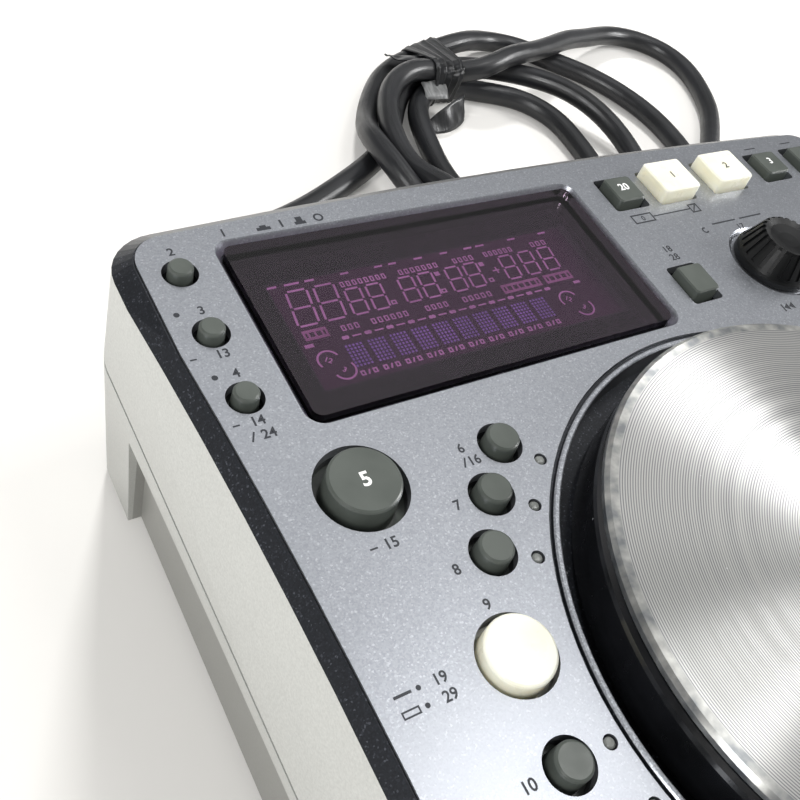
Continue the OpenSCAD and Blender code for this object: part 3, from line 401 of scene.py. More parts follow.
def tie_ring(strands, radius, sides):
    """The loop of tape pulled tight round a set of strands, with its outward directions."""
    def line(k):
        turn = 2 * math.pi * k / sides
        n = Vector((math.cos(turn), math.sin(turn)))
        return n, max(n.x * y + n.y * z for y, z in strands) + radius
    ring = []
    for k in range(sides):
        (a, ha), (b, hb) = line(k), line(k + 1)
        cross = a.x * b.y - a.y * b.x
        y = (ha * b.y - hb * a.y) / cross
        z = (a.x * hb - b.x * ha) / cross
        ring.append((Vector((y, z)), (a + b).normalized()))
    return ring


def make_tie(path, finish):
    """Tape wound round the bundle: each turn overlaps the one before it by a step."""
    sides, stations = 96, 49
    points, faces = [], []
    for outer in (True, False):
        for i in range(stations):
            share = i / (stations - 1)
            x = CORD_FROM.x + (TIE_FROM + share * TIE_LONG) * MM
            ring = tie_ring(crossings(path, x), CORD_THICK / 2, sides)
            near = min(at.x for at, n in ring)
            far = max(at.x for at, n in ring)
            for k, (at, n) in enumerate(ring):
                turn = (share * TIE_TURNS + k / sides) % 1.0
                step = TIE_STEP * min(turn / TIE_CLIMB, (1 - turn) / (1 - TIE_CLIMB))
                ripple = 0.08 * math.sin(9 * share + 0.9 * k) + 0.06 * math.sin(21 * share - 0.35 * k)
                at = at + n * (TIE_LIFT + step + ripple if outer else 0.1) * MM
                back = (at.x - near) / (far - near)
                shift = share * TIE_LONG * TIE_LEAN * (1 - back) * MM
                points.append(Vector((x - shift, at.x, max(at.y, 0.1 * MM))))
    half = sides * stations
    last = half - sides
    for a, b, c, d in ring_faces(stations, sides):
        faces.append((a, d, c, b))
        faces.append((half + a, half + b, half + c, half + d))
    for k in range(sides):
        a, b = k, (k + 1) % sides
        faces.append((a, b, half + b, half + a))
        faces.append((last + b, last + a, half + last + a, half + last + b))
    return outward(dress(mesh_piece("tie", points, faces), finish))


def outward(piece):
    """Turns a closed piece's faces outward."""
    whole = bmesh.new()
    whole.from_mesh(piece.data)
    bmesh.ops.recalc_face_normals(whole, faces=whole.faces)
    whole.to_mesh(piece.data)
    whole.free()
    return piece


def tape_strip(name, rows, finish):
    """A loose end of the tape, from rows of its two edges' points along it."""
    across = 8
    left = smooth_row([Vector(a) for a, b in rows], 4)
    right = smooth_row([Vector(b) for a, b in rows], 4)
    count = min(len(left), len(right))
    points, faces = [], []
    for side, lowest in ((0.5, 0.1 + TAPE_THICK), (-0.5, 0.1)):
        for i in range(count):
            edge = right[i] - left[i]
            ahead = left[min(i + 1, count - 1)] - left[max(i - 1, 0)]
            up = edge.cross(ahead).normalized()
            for k in range(across + 1):
                share = k / across
                sag = 0.45 * math.sin(3.1 * share + 0.7 * i) * math.sin(math.pi * share)
                at = left[i] + edge * share + up * (sag + side * TAPE_THICK)
                points.append(CORD_FROM + MM * Vector((at.x, at.y, max(at.z, lowest))))
    wide = across + 1
    half = wide * count
    last = half - wide
    for i in range(count - 1):
        for k in range(across):
            a = i * wide + k
            faces.append((a, a + 1, a + 1 + wide, a + wide))
            faces.append((half + a, half + a + wide, half + a + 1 + wide, half + a + 1))
    rim = [*range(wide), *range(wide + across, half, wide)]
    rim += [*range(last + across - 1, last - 1, -1), *range(last - wide, 0, -wide)]
    for a, b in zip(rim, rim[1:] + rim[:1]):
        faces.append((a, half + a, half + b, b))
    return outward(dress(mesh_piece(name, points, faces), finish))


TAIL_ROWS = [
    ((119, 83.5, 10.5), (129.5, 84, 10.5)), ((118.5, 80.5, 10.6), (129, 80.5, 10.6)),
    ((118, 78, 9.8), (128.5, 77.5, 9.4)), ((117.5, 76, 8.6), (127.5, 75.2, 8.2)),
]
FLAP_ROWS = [
    ((113.5, 65.8, 1.4), (115, 68.5, 3.4)), ((118, 64.5, 0.9), (119, 69.5, 6.4)),
    ((123, 64.5, 0.7), (123.5, 70.5, 8.4)), ((128, 66, 0.7), (128.5, 72.5, 9.4)),
    ((132, 68, 0.9), (132.5, 74, 9.6)), ((134.5, 70, 1.2), (135, 75.5, 9.4)),
]
TAB_ROWS = [
    ((126, 88, 15.8), (127, 97, 12.4)), ((121, 91, 14.6), (121, 98.5, 12)),
    ((116.5, 93.5, 13.6), (116, 99.5, 11.8)), ((113, 95, 13.0), (112, 100, 11.6)),
    ((111, 96.5, 14.2), (110.5, 99.5, 12.8)),
]

jacket = pvc_jacket()
tape = vinyl_tape("vinyl_tape", "#151617", "#292A2D")
tape_back = vinyl_tape("vinyl_tape_glue_side", "#5F6061", "#8B8C8B")
cord, cord_path = make_cord(jacket)
ties = [
    make_tie(cord_path, tape),
    tape_strip("tape_tail", TAIL_ROWS, tape_back),
    tape_strip("tape_flap", FLAP_ROWS, tape),
    tape_strip("tape_tab", TAB_ROWS, tape),
]


# ---------- finishes ----------

# the edges of the painted highlight on the raised ring round the platter: its radius, and how far below the
# face plate's top
RIDGE_MM = (65.05, 65.15)
RIDGE_BELOW_MM = (0.25, 0.15)
# the recess in the case's sides, painted darker than they are as shade: how far out, how far along and how
# high it goes
RECESS_OUT_MM = (106.0, 106.2)
RECESS_LONG_MM = (108.1, 108.3)
RECESS_TOP_MM = (36, 38)
# the heights between which the case's darkening towards the bottom thins out
LOW_DARKENING_MM = (12, 62)
# the open seam between the two cases, its gap painted dark as shade: lower and upper edge
SEAM_LOW_MM = (43.52, 43.6)
SEAM_HIGH_MM = (44.4, 44.48)
# the platter's tool marks, one turn of the lathe each, and where its turned rim starts
TOOL_PITCH_MM = 0.5
RIM_MM = (57.0, 57.2)
# flex ribs of the strain relief
RIB_PITCH_MM = 2.6


def silver_lacquer():
    """Metallic lacquer sprayed on the face plate: flakes catch the light singly, over faint orange peel."""
    material, tree, place = start_finish("silver_lacquer", "#A4A7AD", 0.34, Metallic=0.85)
    flakes = flakes_of(tree, place)
    shade(
        tree,
        Base_Color=put(tree, "ShaderNodeValToRGB", {"Fac": flakes}, [
            (0.0, "#9A9DA3"), (0.5, "#A3A6AC"), (0.9, "#A9ACB2"), (1.0, "#BDC0C5"),
        ]),
        Roughness=put(tree, "ShaderNodeMapRange", {"Value": flakes, "To Min": 0.31, "To Max": 0.37}),
        Normal=grained(tree, place, PEEL_MM, PEEL_DEEP_MM, detail=1.0),
    )
    return material


def charcoal_lacquer(centre, panel):
    """Dark metallic lacquer on the sloped border, with a painted highlight in a silver tone on the raised
    ring round the platter.
    """
    material, tree, place = start_finish("charcoal_lacquer", "#2B2D32", 0.3, Metallic=0.5)
    flakes = flakes_of(tree, place)
    dark = put(tree, "ShaderNodeValToRGB", {"Fac": flakes}, [
        (0.0, "#282A2E"), (0.8, "#2F3136"), (0.94, "#383A40"), (1.0, "#5A5D65"),
    ])
    # painted highlight: the lit face of the ring round the platter, in a silver tone
    silver = put(tree, "ShaderNodeValToRGB", {"Fac": flakes}, [
        (0.0, "#8E9197"), (0.5, "#9A9DA3"), (1.0, "#BDC0C5"),
    ])
    _, radius = from_axis(tree, place, centre)
    inside = put(tree, "ShaderNodeMapRange", {
        "Value": radius, "From Min": RIDGE_MM[0] * MM, "From Max": RIDGE_MM[1] * MM, "To Min": 1, "To Max": 0,
    })
    above = put(tree, "ShaderNodeMapRange", {
        "Value": put(tree, "ShaderNodeSeparateXYZ", {"Vector": place}).outputs["Z"],
        "From Min": panel - RIDGE_BELOW_MM[0] * MM, "From Max": panel - RIDGE_BELOW_MM[1] * MM,
    })
    ridge_highlight_mask = put(tree, "ShaderNodeMath", {0: inside, 1: above}, operation="MULTIPLY")
    dusty = dust(tree, place, dark, "#A5A8AC", 8, 0.04)
    whole = put(tree, "ShaderNodeMix", {"Factor": ridge_highlight_mask, 6: dusty, 7: silver}, data_type="RGBA").outputs[2]
    shade(tree, Base_Color=whole, Normal=grained(tree, place, PEEL_MM, PEEL_DEEP_MM, detail=1.0))
    return material


def shell_paint():
    """Satin silver-grey paint on the moulded ABS case: fine mist texture, darker towards the bottom, with
    painted shade in the side recess and in the seam.
    """
    material, tree, place = start_finish("shell_paint", "#C9CAC7", 0.42, Metallic=0.25)
    axes = put(tree, "ShaderNodeSeparateXYZ", {"Vector": place}).outputs
    # each level is full up to one distance and gone at the next
    levels = {}
    for name, source, (start, end), full in (
        ("low", axes["Z"], LOW_DARKENING_MM, 0.36),
        ("recess_z", axes["Z"], RECESS_TOP_MM, 0.75),
        ("recess_x", put(tree, "ShaderNodeMath", {0: axes["X"]}, operation="ABSOLUTE"), RECESS_OUT_MM, 1),
        ("recess_y", put(tree, "ShaderNodeMath", {0: axes["Y"]}, operation="ABSOLUTE"), RECESS_LONG_MM, 1),
        ("under_seam", axes["Z"], SEAM_LOW_MM, 1),
        ("seam_and_under", axes["Z"], SEAM_HIGH_MM, 1),
    ):
        levels[name] = put(tree, "ShaderNodeMapRange", {
            "Value": source, "From Min": start * MM, "From Max": end * MM, "To Min": full, "To Max": 0,
        })
    sides = put(tree, "ShaderNodeMath", {0: levels["recess_x"], 1: levels["recess_y"]}, operation="MULTIPLY")
    # painted shade in the recess of the sides
    recess = put(tree, "ShaderNodeMath", {0: sides, 1: levels["recess_z"]}, operation="MULTIPLY")
    low_darkening_and_recess_shade = put(tree, "ShaderNodeMath", {0: levels["low"], 1: recess}, operation="MAXIMUM")
    # painted shade in the seam's gap
    seam = put(
        tree, "ShaderNodeMath", {0: levels["seam_and_under"], 1: levels["under_seam"]}, operation="SUBTRACT",
    )
    colour_so_far = mottled(tree, place, 0.5, (0.3, "#C5C6C2"), (0.7, "#D3D4D0"), detail=3.0)
    # the darker colours mixed in: darker towards the bottom with the recess's painted shade, then the seam's
    # painted shade
    for share, darker in ((low_darkening_and_recess_shade, "#7D7C77"), (seam, "#161616")):
        colour_so_far = put(
            tree, "ShaderNodeMix", {"Factor": share, 6: colour_so_far, 7: darker}, data_type="RGBA",
        ).outputs[2]
    shade(tree, Base_Color=colour_so_far, Normal=grained(tree, place, 0.6, 0.015))
    return material


def smoked_acrylic():
    """Polished smoked acrylic, cast: clear with a plum tint, and a mirror-like face with hairline wipes."""
    material, tree, place = start_finish(
        "smoked_acrylic", "#CDB6CE", 0.02, Transmission_Weight=1.0, IOR=1.33, Specular_IOR_Level=0.25,
    )
    wipes = streaks(tree, place, (60, 1400, 100), detail=2.0, turn=0.5)
    shade(tree, Roughness=put(tree, "ShaderNodeMapRange", {
        "Value": wipes, "From Min": 0.5, "From Max": 0.8, "To Min": 0.0, "To Max": 0.03,
    }))
    return material


def dark_glass():
    """The display tube's glass over its grey grid: almost black when seen through the window."""
    material, tree, place = start_finish("dark_glass", "#141118", 0.3, Specular_IOR_Level=0.1)
    shade(tree, Base_Color=mottled(tree, place, 0.4, (0.3, "#110F15"), (0.7, "#19161E")))
    return material


def solder_mask():
    """Green solder mask on a glass-epoxy board: glossy, with copper runs just showing as darker paths."""
    material, tree, place = start_finish("solder_mask", "#17553A", 0.3)
    runs = put(tree, "ShaderNodeTexBrick", {
        "Vector": place, "Scale": 1 / (6 * MM), "Color1": "#17553A", "Color2": "#1C6042", "Mortar": "#0F4029",
        "Mortar Size": 0.05,
    })
    shade(tree, Base_Color=runs.outputs["Color"], Normal=grained(tree, place, 2, 0.02))
    return material


def moulded(name, dark, light, roughness, depth_mm=0.012, speck=None, **sockets):
    """Injection-moulded plastic: a fine spark-eroded grain, slightly cloudy in colour, some with dust."""
    material, tree, place = start_finish(name, light, roughness, **sockets)
    tone = mottled(tree, place, 8, (0.35, dark), (0.65, light))
    shade(
        tree, Base_Color=dust(tree, place, tone, speck, 6) if speck else tone,
        Roughness=uneven(tree, place, 3, roughness - 0.05, roughness + 0.06),
        Normal=grained(tree, place, 0.5, depth_mm),
    )
    return material


def worked_metal(name, dark, light, roughness):
    """Drawn, ground or plated metal: fine straight grain along the piece."""
    material, tree, place = start_finish(name, light, roughness, Metallic=1.0)
    lines = streaks(tree, place, (1500, 60, 1500))
    shade(
        tree, Base_Color=put(tree, "ShaderNodeValToRGB", {"Fac": lines}, [(0.3, dark), (0.7, light)]),
        Normal=put(tree, "ShaderNodeBump", {"Height": lines, "Distance": 0.01 * MM}),
    )
    return material


def spun_aluminium(centre):
    """Aluminium turned on a lathe: concentric tool marks, so highlights run out from the middle as spokes."""
    material, tree, place = start_finish("spun_aluminium", "#DADAD8", 0.38, Metallic=1.0, Anisotropic=1.0)
    level, radius = from_axis(tree, place, centre)
    # tool marks, with chatter between turns
    coil = put(
        tree, "ShaderNodeMath", {0: radius, 1: 2 * math.pi / (TOOL_PITCH_MM * MM)}, operation="MULTIPLY",
    )
    wave = put(tree, "ShaderNodeMath", {0: coil}, operation="SINE")
    broad = put(
        tree, "ShaderNodeTexNoise", {"W": radius, "Scale": 1 / (2.5 * MM), "Detail": 3.0},
        noise_dimensions="1D",
    )
    marks = put(tree, "ShaderNodeMath", {0: wave, 1: 1.2, 2: broad}, operation="MULTIPLY_ADD")
    # painted light and shade: the tool marks are also drawn into the colour as lighter and darker rings
    depth = put(tree, "ShaderNodeMapRange", {"Value": marks, "From Min": -0.7, "From Max": 1.7})
    groove_light_and_shade = put(tree, "ShaderNodeValToRGB", {"Fac": depth}, [
        (0.0, "#8C8C8E"), (0.5, "#C4C4C3"), (1.0, "#DAD9D5"),
    ])
    # the turned rim is mottled in darker and lighter greys
    rim_mottle = mottled(tree, place, 3.5, (0.35, "#8F9294"), (0.55, "#B9B9B6"), (0.75, "#DDDDD8"), detail=4.0)
    rim = put(tree, "ShaderNodeMapRange", {
        "Value": radius, "From Min": RIM_MM[0] * MM, "From Max": RIM_MM[1] * MM,
    })
    whole = put(tree, "ShaderNodeMix", {"Factor": rim, 6: groove_light_and_shade, 7: rim_mottle}, data_type="RGBA").outputs[2]
    shade(
        tree, Base_Color=dust(tree, place, whole, "#FFFFFF", 7, 0.03),
        Roughness=put(tree, "ShaderNodeMapRange", {
            "Value": broad, "From Min": 0.3, "From Max": 0.7, "To Min": 0.34, "To Max": 0.42,
        }),
        Normal=put(tree, "ShaderNodeBump", {"Height": marks, "Distance": 0.001 * MM}),
        Tangent=put(tree, "ShaderNodeVectorMath", {0: level}, operation="NORMALIZE"),
    )
    return material


def moulded_rubber(name, base, light):
    """Moulded rubber: matt, faintly mottled, with a dusty bloom."""
    material, tree, place = start_finish(name, base, 0.8, Specular_IOR_Level=0.3)
    shade(
        tree, Base_Color=mottled(tree, place, 4, (0.35, base), (0.65, light)),
        Normal=grained(tree, place, 0.8, 0.03, detail=3.0),
    )
    return material


def printing_ink(name, base, roughness=0.55, **sockets):
    """Screen-printed ink: flat and matt, thinner where the mesh of the screen lay."""
    material, tree, place = start_finish(name, base, roughness, **sockets)
    shade(
        tree, Roughness=uneven(tree, place, 1.5, roughness - 0.06, roughness + 0.06),
        Normal=grained(tree, place, 0.25, 0.004),
    )
    return material


def glow(name, dim, bright):
    """Phosphor of a vacuum display, given a painted glow of one hue, uneven from place to place."""
    material, tree, place = start_finish(
        name, "#0A080B", 0.5, Emission_Strength=1.0, Specular_IOR_Level=0.05,
    )
    shade(tree, Emission_Color=mottled(tree, place, 6, (0.3, dim), (0.7, bright)))
    return material


def varnished_iron():
    """Laminated transformer iron under varnish: thin plates edge on."""
    material, tree, place = start_finish("varnished_iron", "#5A4E3C", 0.4, Metallic=0.6)
    plates = put(
        tree, "ShaderNodeTexWave", {"Vector": place, "Scale": 1 / (3 * MM) / 6.28, "Distortion": 0.2},
        bands_direction="Z",
    ).outputs["Fac"]
    shade(
        tree,
        Base_Color=put(tree, "ShaderNodeValToRGB", {"Fac": plates}, [(0.2, "#463C2E"), (0.8, "#665A46")]),
        Normal=put(tree, "ShaderNodeBump", {"Height": plates, "Distance": 0.05 * MM}),
    )
    return material


FINISHES = {
    "case_plastic": shell_paint(),
    "cover_plastic": charcoal_lacquer(middle("platter_cover"), top("face_plate")),
    "face_metal": silver_lacquer(),
    "lens_acrylic": smoked_acrylic(),
    "tube_glass": dark_glass(),
    "board_epoxy": solder_mask(),
    "switch_plastic": moulded("switch_nylon", "#141414", "#1C1C1D", 0.5),
    "led_plastic": moulded("lamp_polycarbonate", "#8C8F8B", "#A3A6A2", 0.2, Transmission_Weight=0.4),
    "bush_brass": worked_metal("turned_brass", "#A98A4A", "#C9AA66", 0.3),
    "drive_steel": worked_metal("zinc_plated_steel", "#9DA0A3", "#B9BBBD", 0.35),
    "drive_plastic": moulded("drive_polycarbonate", "#2E3033", "#393B3E", 0.5),
    "tray_plastic": moulded("tray_abs", "#1D1D1F", "#262628", 0.45),
    "gear_plastic": moulded("gear_acetal", "#DEDBCF", "#E9E6DB", 0.4),
    "transformer_iron": varnished_iron(),
    "platter_aluminium": spun_aluminium(middle("platter_cover")),
    "platter_gloss": moulded(
        "skirt_abs", "#101113", "#17181B", 0.22, depth_mm=0.004, speck="#8F9296", Coat_Weight=0.3,
        Coat_Roughness=0.1,
    ),
    "steel_rod": worked_metal("ground_steel", "#A8AAAC", "#C4C5C6", 0.2),
    "screw_steel": worked_metal("black_zinc_steel", "#2F3033", "#4A4B4F", 0.4),
    "key_olive": moulded("key_abs_grey", "#484D48", "#525752", 0.34, depth_mm=0.008, speck="#A9ADA8"),
    "key_cream": moulded(
        "key_abs_cream", "#F1EDD6", "#F8F5E2", 0.3, depth_mm=0.004,
        Subsurface_Weight=0.7, Subsurface_Scale=3 * MM, Subsurface_Radius=(1.0, 0.95, 0.85),
    ),
    "knob_plastic": moulded("knob_abs_black", "#090A0B", "#0F1011", 0.34, Specular_IOR_Level=0.3),
    "jack_plastic": moulded("socket_nylon_black", "#151516", "#1E1E20", 0.45),
    "foot_rubber": moulded_rubber("foot_rubber", "#17171A", "#232326"),
    "cord_rubber": jacket,
}


def ribbed_pvc():
    """Moulded PVC of the strain relief, with the flex ribs round it, their hollows painted darker as shade.
    """
    material, tree, place = start_finish("ribbed_pvc", "#1B1C1E", 0.42)
    ribs = put(
        tree, "ShaderNodeTexWave",
        {"Vector": place, "Scale": 2 * math.pi / (20 * RIB_PITCH_MM * MM), "Distortion": 0.0},
        bands_direction="Y", wave_profile="SIN",
    ).outputs["Fac"]
    # painted shade: the colour darkens in the hollows between the ribs
    shade(
        tree,
        Base_Color=put(tree, "ShaderNodeValToRGB", {"Fac": ribs}, [(0.2, "#111213"), (0.7, "#232427")]),
        Normal=put(tree, "ShaderNodeBump", {"Height": ribs, "Distance": 0.5 * MM}),
    )
    return material


def finish_nodes():
    """Every CAD node gets the finish of the record's slot it belongs to."""
    for row in frame["record"]["subparts"]:
        node = NODES[row["node"]]
        for material_slot in node.material_slots:
            material_slot.material = FINISHES[row["material_slot"]]
    NODES["strain_relief"].material_slots[0].material = ribbed_pvc()


finish_nodes()


# ---------- flat shapes: printing and display ----------

class Flat:
    """Collects flat shapes, in millimetres of the plan, for one piece at one height."""

    def __init__(self, height):
        self.height = height
        self.points = []
        self.faces = []

    def shape(self, corners):
        """A filled outline, turned so that it faces up."""
        area = sum(a[0] * b[1] - b[0] * a[1] for a, b in zip(corners, corners[1:] + corners[:1]))
        ordered = corners if area > 0 else corners[::-1]
        start = len(self.points)
        self.points += [Vector((x * MM, y * MM, self.height)) for x, y in ordered]
        self.faces.append(tuple(range(start, start + len(ordered))))

    def bar(self, x, y, wide, high, lean=0.0):
        """A bar centred on a point; lean moves its top edge sideways."""
        w, h, s = wide / 2, high / 2, lean / 2
        self.shape([(x - w - s, y - h), (x + w - s, y - h), (x + w + s, y + h), (x - w + s, y + h)])

    def stroke(self, start, end, wide):
        """A straight line with cut ends."""
        a, b = Vector(start), Vector(end)
        off = (b - a).normalized() * wide / 2
        side = Vector((-off.y, off.x))
        self.shape([a + side, a - side, b - side, b + side])

    def frame(self, x, y, wide, high, line):
        """The outline of a box."""
        for side in (-1, 1):
            self.bar(x, y + side * (high - line) / 2, wide, line)
            self.bar(x + side * (wide - line) / 2, y, line, high - 2 * line)

    def disc(self, x, y, radius, sides=24):
        """A filled circle."""
        turns = [2 * math.pi * k / sides for k in range(sides)]
        self.shape([(x + radius * math.cos(t), y + radius * math.sin(t)) for t in turns])

    def arc(self, x, y, radius, wide, start, end):
        """Part of a ring, from start to end in degrees."""
        pieces = 24

        def at(r, t):
            return (x + r * math.cos(math.radians(t)), y + r * math.sin(math.radians(t)))

        for k in range(pieces):
            a = start + (end - start) * k / pieces
            b = start + (end - start) * (k + 1) / pieces
            inner, outer = radius - wide / 2, radius + wide / 2
            self.shape([at(inner, a), at(outer, a), at(outer, b), at(inner, b)])

    def number(self, text, x, y, high, turn=0.0):
        """A plain number, its strokes a little bolder than the font's, whose middle is at a point."""
        curve = bpy.data.curves.new("number", "FONT")
        curve.body = text
        curve.size = 1.0
        curve.offset = 0.022
        curve.resolution_u = 3
        holder = bpy.data.objects.new("number", curve)
        mesh = bpy.data.meshes.new_from_object(holder)
        points = [v.co.xy for v in mesh.vertices]
        first = Vector((min(p.x for p in points), min(p.y for p in points)))
        last = Vector((max(p.x for p in points), max(p.y for p in points)))
        grow = Matrix.Rotation(math.radians(turn), 2) * (high / (last - first).y)
        for face in mesh.polygons:
            self.shape([grow @ (points[i] - (first + last) / 2) + Vector((x, y)) for i in face.vertices])
        bpy.data.objects.remove(holder)
        bpy.data.curves.remove(curve)
        bpy.data.meshes.remove(mesh)

    def piece(self, name, finish, slot, body="case"):
        """Makes the mesh object of all that was collected."""
        dress(mesh_piece(name, self.points, self.faces, smooth=False), finish, body)


def digit(flat, x, y, wide, high, line, lean):
    """A seven-segment 8 with its lower left corner at a point; lean is the shift of its top."""
    def at(u, v):
        return (x + u * wide + lean * v, y + v * high)

    gap = 0.09
    low = gap * wide / high
    for v in (1, 0.5, 0):
        flat.stroke(at(gap, v), at(1 - gap, v), line)
    for u in (0, 1):
        for v in (0, 0.5):
            flat.stroke(at(u, v + low), at(u, v + 0.5 - low), line)


# ---------- display ----------

TUBE_TOP = top("display_module")
# the layers on the tube, lowest first: the filter with its painted glow, the figures with painted glow on it,
# the window's printed border
FILTER_AT = TUBE_TOP + 0.02 * MM
PAINTED_GLOW_AT = TUBE_TOP + 0.05 * MM
BORDER_AT = TUBE_TOP + 0.08 * MM
# painted glow: the display's figures, dots and boxes are given emission of their own
PHOSPHOR = glow("pink_phosphor", "#9A6A94", "#B480AC")
DOT_PHOSPHOR = glow("violet_phosphor", "#6C5090", "#8A66AE")
BOX_PHOSPHOR = glow("pink_phosphor_box", "#7E4F73", "#97628A")


def plum_painted_glow():
    """The display's filter, given a painted plum glow that is faint and fades towards its right end."""
    material, tree, place = start_finish(
        "plum_painted_glow", "#0A080B", 0.6, Emission_Strength=1.0, Specular_IOR_Level=0.05,
    )
    fade = put(tree, "ShaderNodeMapRange", {
        "Value": put(tree, "ShaderNodeSeparateXYZ", {"Vector": place}), "From Min": -6 * MM,
        "From Max": 5 * MM, "To Min": 1, "To Max": 0,
    })
    cloud = put(tree, "ShaderNodeTexNoise", {"Vector": place, "Scale": 1 / (18 * MM), "Detail": 2.0})
    faint = put(tree, "ShaderNodeMath", {0: cloud, 1: 0.25, 2: -0.12}, operation="MULTIPLY_ADD")
    level = put(tree, "ShaderNodeMath", {0: fade, 1: faint}, operation="ADD")
    shade(tree, Emission_Color=put(tree, "ShaderNodeValToRGB", {"Fac": level}, [
        (0.0, "#000000"), (0.5, "#1E0F1D"), (1.0, "#33182F"),
    ]))
    return material


def display_haze():
    """The filter behind the figures, with its painted plum glow."""
    flat = Flat(FILTER_AT)
    flat.bar(-40.2, 100, 77.6, 28)
    flat.piece("display_filter", plum_painted_glow(), "tube_glass")


# places on the display, in millimetres of the plan
BIG_FIGURES = [-77.1, -70.8]
SMALL_FIGURES = [-64.2, -59.1, -51.1, -46.0, -38.8, -33.8, -23.8, -18.1, -12.4]
TOP_DASHES = [
    (-78, 2.1), (-73.5, 3.4), (-69.4, 2.2), (-61, 2), (-52.6, 2), (-49, 2), (-42.3, 2.2),
    (-35.4, 2), (-28.7, 2.2), (-25.3, 2.4), (-16.1, 2.2), (-6.9, 2.2),
]
WORD_BARS = {
    110.5: [(-57.9, 11.6), (-43.9, 10.6), (-31.8, 6), (-21.9, 8.5), (-10, 5)],
    99.4: [(-66.7, 4.6), (-57.2, 9.4), (-45.4, 6.2), (-34.7, 8.2)],
}
CELL_FROM = -68.3
CELL_PITCH = 5.24
CELL_COUNT = 10


def word_bar(flat, x, y, wide):
    """A generic legend: a row of short upright marks as long as the word it stands for."""
    count = max(2, round(wide / 1.5))
    for k in range(count):
        centre = x - wide / 2 + (k + 0.5) * wide / count
        flat.frame(centre, y, wide / count * 0.66, 1.5, 0.3)


def display_figures():
    """Seven-segment figures, legends and rings of the display."""
    flat = Flat(PAINTED_GLOW_AT)
    for x in BIG_FIGURES:
        digit(flat, x, 102.1, 4.7, 9.4, 0.52, 1.35)
    for x in SMALL_FIGURES:
        digit(flat, x, 102.0, 3.6, 7.0, 0.5, 0.85)
    flat.bar(-25.6, 105.4, 1.9, 0.4)
    flat.bar(-25.4, 105.4, 0.4, 1.9)
    for x in (-54.2, -41.3, -28.4):
        flat.frame(x, 103, 1.3, 1.2, 0.35)
    for x in (-40.3, -28.2):
        flat.bar(x, 108, 1.3, 1.2)
    for x, wide in TOP_DASHES:
        flat.bar(x, 113.4, wide, 0.55, 0.15)
    for y, bars in WORD_BARS.items():
        for x, wide in bars:
            word_bar(flat, x, y, wide)
    flat.bar(-77.2, 97, 2, 0.9)
    flat.bar(-7.6, 97, 1.9, 0.8)
    for k in range(21):
        x = -69 + k * 2.63
        if k % 2:
            flat.bar(x, 97, 2.1, 0.4)
        else:
            flat.disc(x - 0.35, 97, 0.5, 12)
            flat.disc(x + 0.35, 97, 0.5, 12)
    for text, x, y, start in (
        ("12", -74.9, 92.6, 20), ("3", -72.9, 89.6, 200), ("12", -12.9, 92.8, 20), ("3", -10.6, 89.7, 200),
    ):
        flat.arc(x, y, 2.35, 0.45, start, start + 190)
        flat.number(text, x, y, 1.3, -40)
    for k in range(CELL_COUNT):
        x = CELL_FROM + k * CELL_PITCH
        flat.frame(x - 1.4, 87.7, 1.1, 1.3, 0.36)
        flat.stroke((x - 0.25, 87.1), (x + 0.25, 88.3), 0.4)
        flat.frame(x + 1.4, 87.7, 1.1, 1.3, 0.36)
    flat.piece("display_figures", PHOSPHOR, "tube_glass")


def display_boxes():
    """The filled legends of the display, each with a row of dark marks left open."""
    flat = Flat(PAINTED_GLOW_AT)
    for x, wide, marks in ((-74.5, 5.4, 3), (-22.1, 10.8, 6), (-11.4, 7.8, 4)):
        pitch = (wide - 0.8) / marks
        for side in (-1, 1):
            flat.bar(x, 99.6 + side * 0.95, wide, 0.7)
            flat.bar(x + side * (wide - 0.5) / 2, 99.6, 0.5, 1.2)
        for k in range(marks):
            flat.bar(x - wide / 2 + 0.4 + (k + 0.5) * pitch, 99.6, pitch * 0.3, 1.2)
    flat.piece("display_boxes", BOX_PHOSPHOR, "tube_glass")


def grid_tree(name):
    """A tree that repeats a small tile over a grid, for the dot cells of the display."""
    tree = bpy.data.node_groups.new(name, "GeometryNodeTree")
    for label, kind in (
        ("Columns", "Int"), ("Rows", "Int"), ("Pitch X", "Float"), ("Pitch Y", "Float"), ("Tile X", "Float"),
        ("Tile Y", "Float"), ("Finish", "Material"),
    ):
        tree.interface.new_socket(label, in_out="INPUT", socket_type="NodeSocket" + kind)
    tree.interface.new_socket("Geometry", in_out="OUTPUT", socket_type="NodeSocketGeometry")
    given = put(tree, "NodeGroupInput").outputs

    def span(count, pitch):
        gaps = put(tree, "ShaderNodeMath", {0: given[count], 1: 1}, operation="SUBTRACT")
        return put(tree, "ShaderNodeMath", {0: gaps, 1: given[pitch]}, operation="MULTIPLY")

    grid = put(tree, "GeometryNodeMeshGrid", {
        "Size X": span("Columns", "Pitch X"), "Size Y": span("Rows", "Pitch Y"),
        "Vertices X": given["Columns"], "Vertices Y": given["Rows"],
    })
    tile = put(tree, "GeometryNodeMeshGrid", {
        "Size X": given["Tile X"], "Size Y": given["Tile Y"], "Vertices X": 2, "Vertices Y": 2,
    })
    spread = put(tree, "GeometryNodeInstanceOnPoints", {"Points": grid, "Instance": tile})
    real = put(tree, "GeometryNodeRealizeInstances", {"Geometry": spread})
    painted = put(tree, "GeometryNodeSetMaterial", {"Geometry": real, "Material": given["Finish"]})
    put(tree, "NodeGroupOutput", {"Geometry": painted})
    return tree


def grown(tree, values):
    """The mesh that a Geometry Nodes tree makes with these inputs."""
    holder = bpy.data.objects.new("holder", bpy.data.meshes.new("holder"))
    scene.collection.objects.link(holder)
    modifier = holder.modifiers.new("grow", "NODES")
    modifier.node_group = tree
    for item in tree.interface.items_tree:
        if item.in_out == "INPUT" and item.name in values:
            modifier[item.identifier] = values[item.name]
    seen = holder.evaluated_get(bpy.context.evaluated_depsgraph_get())
    mesh = bpy.data.meshes.new_from_object(seen)
    bpy.data.objects.remove(holder)
    return mesh


